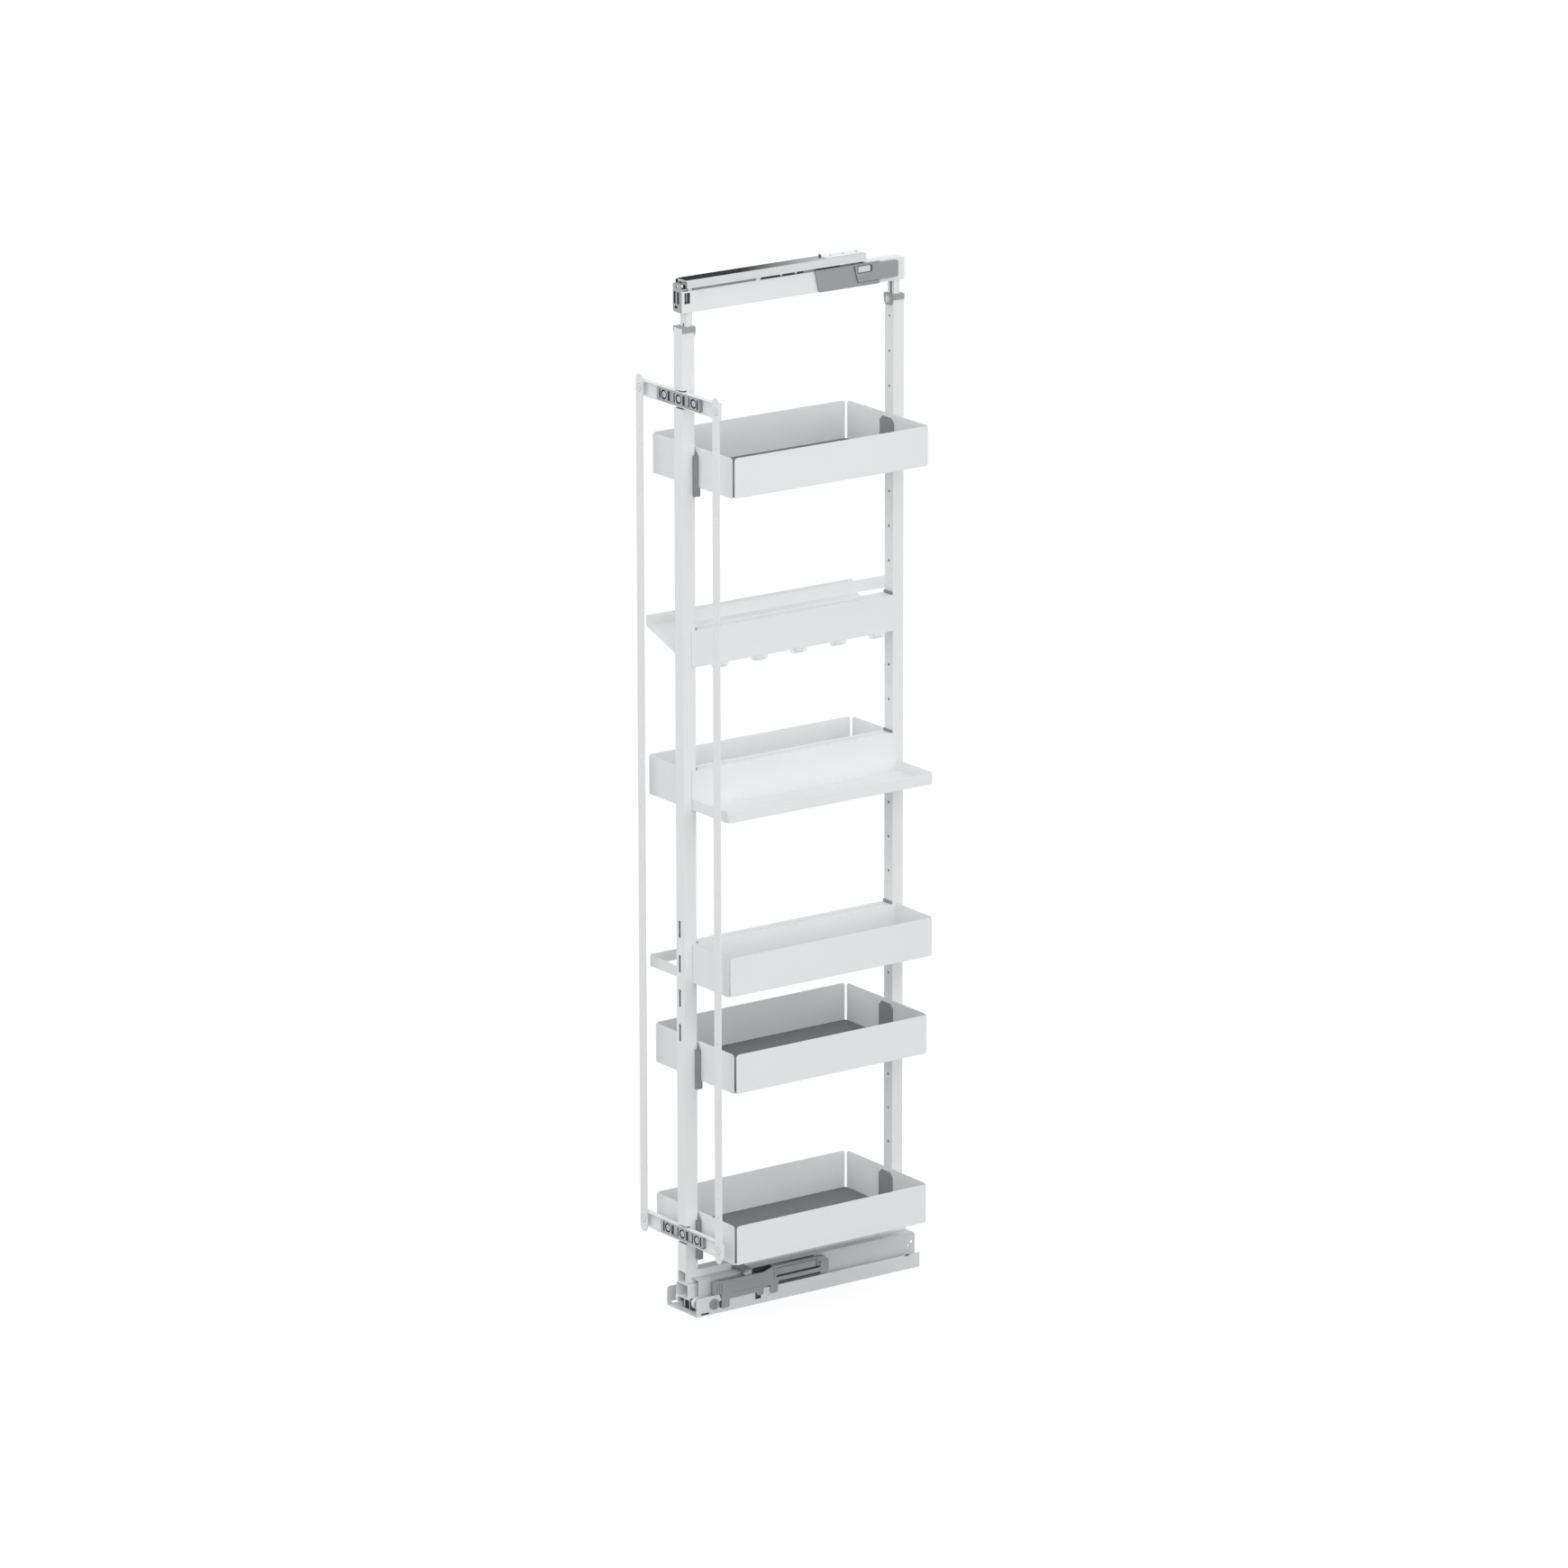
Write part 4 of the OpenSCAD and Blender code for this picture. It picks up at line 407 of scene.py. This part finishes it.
def makeDamperTrim(v):
    capLow, capHigh = nodeBox("top_damper_cap")
    winLow, winHigh = nodeBox("damper_window")
    makeCapShadowSeam(capLow, capHigh, nodeBox("top_damper_housing")[1], v)
    wide, lap, soft = v["frameWidth"], v["frameLap"], v["frameSoft"]
    outer = roundBox(winLow.y - wide, winHigh.y + v["frameRight"], winLow.z - wide, winHigh.z + v["frameTop"],
                     v["frameRadius"])
    inner = roundBox(winLow.y + lap, winHigh.y - lap, winLow.z + lap, winHigh.z - lap, v["holeRadius"])
    sunk = capHigh.x - v["frameSink"]
    top = capHigh.x + v["frameProud"]
    shoulder = top - (top - sunk) * v["frameShoulder"]
    border = bmesh.new()
    outside = [onSide(outer, sunk), onSide(outer, shoulder), onSide(easeTowards(outer, inner, soft), top)]
    inside = [onSide(easeTowards(inner, outer, soft), top), onSide(inner, shoulder), onSide(inner, sunk)]
    loft(border, outside + inside, False)
    newPiece("windowFrame", border, "top_unit", "damper_plastic", darkAcetal)
    pins = bmesh.new()
    for place in v["pinPlaces"]:
        stud(pins, (capHigh.x, winLow.y + place, winLow.z - v["pinDrop"]), "x", capPin)
    newPiece("capPins", pins, "top_unit", "damper_plastic", darkAcetal)


makeDamperTrim(damperTrim)


# washers under the clamp screws of the collars

clampWasher = dict(inner=4.35, outer=6.4, thick=0.7, innerStep=0.8, innerEase=0.25,
                   outerStep=0.6, outerEase=0.3, lap=0.02, height=1801.4, frontFace=-218.1, rearFace=207.1)


def makeClampWashers(v):
    inner, outer, thick = v["inner"], v["outer"], v["thick"]
    profile = [(inner, -v["lap"]), (inner, thick * v["innerStep"]), (inner + v["innerEase"], thick),
               (outer - v["outerEase"], thick), (outer, thick * v["outerStep"]), (outer, -v["lap"])]
    shape = bmesh.new()
    for face, way in ((v["frontFace"], 1), (v["rearFace"], -1)):
        lathe(shape, [(r, h * way) for r, h in profile], (0, face, v["height"]), "y")
    newPiece("clampWashers", shape, "frame", "galvanised_steel")


makeClampWashers(clampWasher)
print("damper trim and washers made")


# details of the floor runner's soft-close unit; shadeGrooves are (from, to, low, high) on its right face,
# black strips that paint the shade of its grooves and gaps

softClose = dict(wallTop=58.5, rampFrom=-102.5, rampTo=-78.5, highTop=65.0, sink=1.0, proud=0.15,
                 wellFrom=-122.0, wellTo=-82.0, wellWall=2.2, wellGap=0.3,
                 backTop=66.3, backEnd=3.0, backSlope=4.0, backGap=0.1, backThick=1.2,
                 shadeGrooves=((-74, 20, 43, 45.6), (-75, 19, 59.7, 60.7), (14.6, 15.6, 44.2, 60.2),
                          (-69, 24, 31.3, 35.2)), grooveDepth=3.5, grooveRadius=0.45,
                 stripFrom=-82.5, stripTo=16.0, stripThick=1.1, stripProud=0.3, wellEdge=0.1)
damperBar = dict(start=-73.0, end=14.0, low=46.8, high=58.6, proud=0.8, depth=4.0, topDepth=0.2,
                 bowAngle=60, bowStep=10, bowDepth=2.2, bowSpread=1.05,
                 tabFrom=16.2, tabTo=19.5, tabInset=1.0, tabRadius=1.2, tabSink=1.0, tabProud=0.5, edge=0.2)
softCloseSeam = dict(place=-79.2, half=0.5, low=40.2, high=63.5, sink=0.5, proud=0.15, edge=0.1)
catchKnob = dict(start=-142.0, end=-126.0, foot=58.9, top=66.6, radius=3.0, frontRadius=6.0,
                 lap=0.2, edge=0.6)


def makeCatchShadeWell(low, face, v):
    well = bmesh.new()
    foot = v["wallTop"] - v["sink"]
    slope = (v["highTop"] - v["wallTop"]) / (v["rampTo"] - v["rampFrom"])
    end = v["wallTop"] + (v["wellTo"] - v["rampFrom"]) * slope
    # black floor of the recess in front of the catch: partly the unit's own black part, partly painted shade
    # of the recess
    floor = [(v["wellFrom"], foot), (v["wellTo"], foot), (v["wellTo"], end + v["proud"]),
             (v["rampFrom"], v["wallTop"] + v["proud"]), (v["wellFrom"], v["wallTop"] + v["proud"])]
    prism(well, onSide, floor, low.x + v["wellGap"], face - v["wellWall"])
    backEnd = v["wellTo"] + v["backEnd"]
    back = [(v["wellFrom"], foot), (backEnd, foot), (backEnd, v["backTop"]),
            (v["wellFrom"] + v["backSlope"], v["backTop"]), (v["wellFrom"], v["backTop"] - v["backSlope"])]
    backX = low.x + v["backGap"]
    prism(well, onSide, back, backX, backX + v["backThick"])
    # black strips standing a little proud in the grooves: painted shade of the grooves and of the gap under
    # the panel
    for groove in v["shadeGrooves"]:
        prism(well, onSide, roundBox(*groove, v["grooveRadius"]), face - v["grooveDepth"], face + v["proud"])
    # black strip along the top inner edge: painted shadow of the gap between the housing and the middle rail
    gapShadowStrip = area(backX, backX + v["stripThick"], v["stripFrom"], v["stripTo"])
    prism(well, onTop, gapShadowStrip, v["highTop"] - v["sink"], v["highTop"] + v["stripProud"])
    newPiece("catchShadeWell", well, "base", "grey_plastic", blackAcetal, v["wellEdge"])


def makeDamperBar(face, v):
    bar = bmesh.new()
    middle = (v["low"] + v["high"]) / 2
    spread = (v["high"] - v["low"]) / 2 / math.sin(v["bowSpread"])
    turns = [math.radians(a) for a in range(-v["bowAngle"], v["bowAngle"] + 1, v["bowStep"])]
    bow = [(face + v["proud"] - (1 - math.cos(a)) * v["bowDepth"], middle + spread * math.sin(a))
           for a in turns]
    section = [(face - v["depth"], v["low"])] + bow + [(face - v["topDepth"], v["high"])]
    prism(bar, onFront, section, v["start"], v["end"])
    tab = roundBox(v["tabFrom"], v["tabTo"], v["low"] + v["tabInset"], v["high"] - v["tabInset"],
                   v["tabRadius"])
    prism(bar, onSide, tab, face - v["tabSink"], face + v["tabProud"])
    newPiece("damperBar", bar, "base", "grey_plastic", finishes["damper_plastic"], v["edge"])


def makeSoftCloseSeam(face, v):
    seam = bmesh.new()
    outline = area(v["place"] - v["half"], v["place"] + v["half"], v["low"], v["high"])
    prism(seam, onSide, outline, face - v["sink"], face + v["proud"])
    newPiece("softCloseSeam", seam, "base", "grey_plastic", darkAcetal, v["edge"])


def makeCatchKnob(v):
    low, high = nodeBox("catch_slider")
    r, front = v["radius"], v["frontRadius"]
    outline = [(v["start"], v["foot"]), (v["end"], v["foot"])]
    outline += arc(v["end"] - r, v["top"] - r, r, 0, 90)
    outline += arc(v["start"] + front, v["top"] - front, front, 90, 180)
    knob = bmesh.new()
    prism(knob, onSide, outline, low.x - v["lap"], high.x + v["lap"])
    newPiece("catchKnob", knob, "catch", "grey_plastic", knobNylon, v["edge"])


housingLow, housingHigh = nodeBox("soft_close_housing")
makeCatchShadeWell(housingLow, housingHigh.x, softClose)
makeDamperBar(housingHigh.x, damperBar)
makeSoftCloseSeam(housingHigh.x, softCloseSeam)
makeCatchKnob(catchKnob)
print("soft-close unit dressed")


# black linings that paint the shade in the pockets of the arms' inserts and in the notches, and rings of the
# strip rivets with dark rings that paint the shade of their grooves

armHeights = (145.5, 1681.5)
insertPocketShade = dict(screws=(-45.0, 0.0, 45.0), seat=-244.0, inner=5.6, outer=8.4, deep=2.6, lap=0.05,
                    wells=(-22.5, 22.5), wellHalf=10.8, wellFloor=-245.5, barWidth=5.0, barRadius=1.5,
                    slots=(-57.0, 57.0), slotHalf=1.9, slotFloor=-245.0, half=8.5, proud=0.1, sink=0.2)
notchShade = dict(half=10.9, face=-237.75, thick=0.3, low=11.0, high=16.6, tubeFront=-246.0,
                   floorThick=1.0, floorGap=0.4, edge=0.05)
rivetRing = dict(places=(-116.2, 116.2), face=-250.0, outer=6.6, inner=3.6, proud=0.3,
                 outerEase=0.3, innerEase=1.2, groove=0.5, grooveProud=0.04, lap=0.02)


def makeInsertPocketShades(v):
    pocketShades = bmesh.new()
    # black rings round the screws, bars in the wells and plates in the slots: painted shade of the pockets
    ring = [(v["inner"], -v["lap"]), (v["outer"], -v["lap"]), (v["outer"], -v["deep"])]
    for z in armHeights:
        low, high = z - v["half"], z + v["half"]
        for x in v["screws"]:
            lathe(pocketShades, ring, (x, v["seat"], z), "y")
        for x in v["wells"]:
            for side in (-1, 1):
                x0, x1 = sorted((x + side * v["wellHalf"], x + side * (v["wellHalf"] - v["barWidth"])))
                prism(pocketShades, onFront, roundBox(x0, x1, low, high, v["barRadius"]),
                      v["wellFloor"] - v["proud"], v["wellFloor"] + v["sink"])
        for x in v["slots"]:
            prism(pocketShades, onFront, area(x - v["slotHalf"], x + v["slotHalf"], low, high),
                  v["slotFloor"] - v["proud"], v["slotFloor"] + v["sink"])
    newPiece("insertPocketShades", pocketShades, "adjusters", "die_cast_zinc", blackAcetal)


def makeNotchShades(v):
    notches = bmesh.new()
    # black plates above and below each arm and a floor below: painted shade of the hollow upright seen
    # through the notches
    for z in armHeights:
        for low, high in ((z - v["high"], z - v["low"]), (z + v["low"], z + v["high"])):
            prism(notches, onFront, area(-v["half"], v["half"], low, high), v["face"] - v["thick"], v["face"])
        top = z - v["high"] - v["floorGap"]
        floor = area(-v["half"], v["half"], v["tubeFront"], v["face"])
        prism(notches, onTop, floor, top - v["floorThick"], top)
    newPiece("notchShades", notches, "frame", "grey_plastic", blackAcetal, v["edge"])


def makeRivetRings(v):
    rings = bmesh.new()
    shadeGrooves = bmesh.new()
    outer, inner, lap = v["outer"], v["inner"], v["lap"]
    wide = outer + v["groove"]
    ring = [(outer, lap), (outer - v["outerEase"], -v["proud"]), (inner + v["innerEase"], -v["proud"]),
            (inner, lap)]
    # dark ring just outside each rivet ring: painted shade of the groove round the rivet
    groove = [(wide, lap), (wide, -v["grooveProud"]), (outer, -v["grooveProud"]), (outer, lap)]
    for z in armHeights:
        for x in v["places"]:
            lathe(rings, ring, (x, v["face"], z), "y")
            lathe(shadeGrooves, groove, (x, v["face"], z), "y")
    newPiece("rivetRings", rings, "door_front", "white_powder_coat")
    newPiece("rivetGrooveShades", shadeGrooves, "door_front", "galvanised_steel", darkAcetal)


makeInsertPocketShades(insertPocketShade)
makeNotchShades(notchShade)
makeRivetRings(rivetRing)
print("door arms dressed")


# strip between the top beam and the ceiling rail

runnerStrip = dict(inside=10.3, outside=11.8, low=1875.1, high=1880.6, play=0.2, edge=0.2,
                   greyRuns=((-226, -88), (14, 40), (93, 117)), blackRuns=((-77, 14), (40, 93)),
                   posts=((-233, -226), (-88, -78)), postRadius=1.0, postProud=0.2,
                   buttons=(-34, -2.5), buttonDrop=2.4)
runnerButton = dict(radius=2.2, flat=1.6, step=0.3, proud=0.6, sink=0.3, sides=20)


def makeRuns(name, runs, finish, v):
    shape = bmesh.new()
    for y0, y1 in runs:
        run = area(y0 + v["play"], y1 - v["play"], v["low"], v["high"])
        prism(shape, onSide, run, v["inside"], v["outside"])
    newPiece(name, shape, "top_unit", "grey_plastic", finish, v["edge"])


def makeRunnerPosts(v):
    posts = bmesh.new()
    for y0, y1 in v["posts"]:
        post = roundBox(y0, y1, v["low"], v["high"], v["postRadius"])
        prism(posts, onSide, post, v["inside"], v["outside"] + v["postProud"])
    for y in v["buttons"]:
        stud(posts, (v["outside"], y, v["high"] - v["buttonDrop"]), "x", runnerButton)
    newPiece("runnerPosts", posts, "top_unit", "white_nylon", edge=v["edge"])


makeRuns("runnerSkirt", runnerStrip["greyRuns"], None, runnerStrip)
# the black runs are painted shade of the dark gap between the beam and the ceiling rail
makeRuns("runnerShade", runnerStrip["blackRuns"], blackAcetal, runnerStrip)
makeRunnerPosts(runnerStrip)


# plate on the ceiling rail, with dark discs that paint the shade of its screw holes, and its stop

ceilingPlate = dict(acrossX=(-14, 10), alongY=(67, 146), low=1894.9, thick=1.1, corner=3.0, edge=0.3,
                    holePlaces=(84, 110, 140), holeX=-3.0, lipHeight=3.6, lipThick=1.2, lipX=(-14, -8),
                    markEdge=0.15)
plateHoleShade = dict(radius=2.4, flat=1.92, step=0.05, proud=0.08, sink=0.3, sides=20)


def makeCeilingPlate(v):
    plate = bmesh.new()
    top = v["low"] + v["thick"]
    prism(plate, onTop, roundBox(*v["acrossX"], *v["alongY"], v["corner"]), v["low"], top)
    newPiece("ceilingPlate", plate, "ceiling", "white_powder_coat", edge=v["edge"])
    holeShadesAndStop = bmesh.new()
    # dark discs barely proud of the plate: painted shade of the screw holes
    for y in v["holePlaces"]:
        stud(holeShadesAndStop, (v["holeX"], y, top), "z", plateHoleShade)
    front = v["alongY"][0]
    lip = area(front - v["lipThick"], front, v["low"], v["low"] + v["lipHeight"])
    prism(holeShadesAndStop, onSide, lip, *v["lipX"])
    newPiece("ceilingStop", holeShadesAndStop, "ceiling", "galvanised_steel", darkAcetal, v["markEdge"])


makeCeilingPlate(ceilingPlate)


# dark linings behind the open slots of the end bracket and of the floor rail: painted shade of the insides
# seen through the slots

slotShade = dict(thick=0.5, gap=0.4, sheet=1.5, tongue=6.3, topGap=0.5,
                  slitFrom=9.0, slitTo=29.0, slitHigh=5.5,
                  notchFrom=34.0, notchTo=22.0, notchLow=23.0, notchHigh=27.2, edge=0.05)


def makeSlotShades(v):
    beamLow, beamHigh = nodeBox("top_beam")
    back = bmesh.new()
    half = beamHigh.x - v["sheet"] - v["gap"]
    front = beamLow.y + v["gap"]
    plate = area(-half, half, beamLow.z + v["sheet"] + v["tongue"], beamHigh.z - v["topGap"])
    prism(back, onFront, plate, front, front + v["thick"])
    newPiece("bracketShadeLining", back, "top_unit", "grey_plastic", darkAcetal, v["edge"])
    railLow, railHigh = nodeBox("floor_rail")
    shadeLinings = bmesh.new()
    near = railHigh.x - v["sheet"] - v["gap"]
    slit = area(railLow.y + v["slitFrom"], railLow.y + v["slitTo"], v["sheet"] + v["gap"], v["slitHigh"])
    notch = area(railHigh.y - v["notchFrom"], railHigh.y - v["notchTo"], v["notchLow"], v["notchHigh"])
    for outline in (slit, notch):
        prism(shadeLinings, onSide, outline, near - v["thick"], near)
    newPiece("slitShadeLinings", shadeLinings, "base", "grey_plastic", blackAcetal, v["edge"])


makeSlotShades(slotShade)
print("trim made")


# a card that only reflections see, for the graded top of the bright ceiling rail; sizes in metres

reflectionCard = dict(distance=3.0, left=-0.7, right=0.5, low=2.40, high=3.05, darkAt=-0.10, lightAt=0.085,
                      dark=0.035, light=0.74)


def gradedCard(across, v):
    # a studio card lit from one end: it fades from near black to pale along its width
    material, tree = newMaterial("graded card")
    where = addNode(tree, "ShaderNodeTexCoord")
    place = addNode(tree, "ShaderNodeVectorMath", {"operation": "DOT_PRODUCT", 1: across},
                    {0: where.outputs["Object"]})
    level = addNode(tree, "ShaderNodeMapRange", {"From Min": v["darkAt"], "From Max": v["lightAt"],
                                                 "To Min": v["dark"], "To Max": v["light"]},
                    {"Value": place.outputs["Value"]})
    glow = addNode(tree, "ShaderNodeEmission", {"Color": (1, 1, 1, 1)}, {"Strength": level.outputs["Result"]})
    closeMaterial(tree, glow)
    return material


def makeCard(v):
    az = math.radians(cameraView["azimuth"])
    across = Vector((math.cos(az), math.sin(az), 0))
    away = Vector((-math.sin(az), math.cos(az), 0)) * v["distance"]
    corners = area(v["left"], v["right"], v["low"], v["high"])
    shape = bmesh.new()
    shape.faces.new([shape.verts.new(away + across * u + Vector((0, 0, h))) for u, h in corners])
    mesh = bpy.data.meshes.new("reflectionCard")
    shape.to_mesh(mesh)
    shape.free()
    mesh.materials.append(gradedCard(across, v))
    card = bpy.data.objects.new("reflectionCard", mesh)
    card.visible_camera = False
    card.visible_diffuse = False
    card.visible_transmission = False
    card.visible_shadow = False
    scene.collection.objects.link(card)


makeCard(reflectionCard)


# floor, world and lamps

studio = dict(paper="#b4b4b4", glow=1.34, share=0.66, floorHalf=30, fill=0.9)
lampSetup = [
    dict(name="frontLamp", place=(-1.2, -6.0, 3.6), aim=(0, 0, 0.9), size=4.5, power=34),
    dict(name="rightLamp", place=(6.0, -1.5, 3.2), aim=(0, 0, 0.9), size=4.5, power=76),
    dict(name="topLamp", place=(0.5, 0.5, 6.0), aim=(0, 0, 0.5), size=3.5, power=6),
]


def seenRays(tree):
    # one where the camera, a mirror or glass looks, and nought for the light that falls on the part
    rays = addNode(tree, "ShaderNodeLightPath")
    level = rays.outputs["Is Camera Ray"]
    for kind in ("Is Glossy Ray", "Is Transmission Ray"):
        either = addNode(tree, "ShaderNodeMath", {"operation": "MAXIMUM"}, {0: level, 1: rays.outputs[kind]})
        level = either.outputs[0]
    return level


def paperFloor(v):
    # matt paper that reads as white and keeps a faint shadow
    material, tree = newMaterial("white paper")
    share = addNode(tree, "ShaderNodeMath", {"operation": "MULTIPLY", 1: v["share"]}, {0: seenRays(tree)})
    paper = addNode(tree, "ShaderNodeBsdfDiffuse", {"Color": hexColor(v["paper"])})
    glow = addNode(tree, "ShaderNodeEmission", {"Color": (1, 1, 1, 1), "Strength": v["glow"]})
    mix = addNode(tree, "ShaderNodeMixShader",
                  links={0: share.outputs[0], 1: paper.outputs[0], 2: glow.outputs[0]})
    closeMaterial(tree, mix)
    return material


def makeFloor(v):
    mesh = bpy.data.meshes.new("floor")
    shape = bmesh.new()
    bmesh.ops.create_grid(shape, x_segments=1, y_segments=1, size=v["floorHalf"])
    shape.to_mesh(mesh)
    shape.free()
    floor = bpy.data.objects.new("floor", mesh)
    mesh.materials.append(paperFloor(v))
    scene.collection.objects.link(floor)


def makeWorld(v):
    world = bpy.data.worlds.new("studio")
    world.use_nodes = True
    tree = world.node_tree
    tree.nodes.clear()
    level = addNode(tree, "ShaderNodeMapRange", {"To Min": v["fill"], "To Max": 1.0},
                    {"Value": seenRays(tree)})
    sky = addNode(tree, "ShaderNodeBackground", {"Color": (1, 1, 1, 1)},
                  {"Strength": level.outputs["Result"]})
    addNode(tree, "ShaderNodeOutputWorld", links={"Surface": sky.outputs[0]})
    scene.world = world


def makeLamps(lamps):
    for lamp in lamps:
        data = bpy.data.lights.new(lamp["name"], "AREA")
        data.shape = "SQUARE"
        data.size = lamp["size"]
        data.energy = lamp["power"]
        item = bpy.data.objects.new(lamp["name"], data)
        turn = (Vector(lamp["aim"]) - Vector(lamp["place"])).to_track_quat("-Z", "Y")
        item.matrix_world = Matrix.Translation(lamp["place"]) @ turn.to_matrix().to_4x4()
        scene.collection.objects.link(item)


makeFloor(studio)
makeWorld(studio)
makeLamps(lampSetup)
print("stage lit")
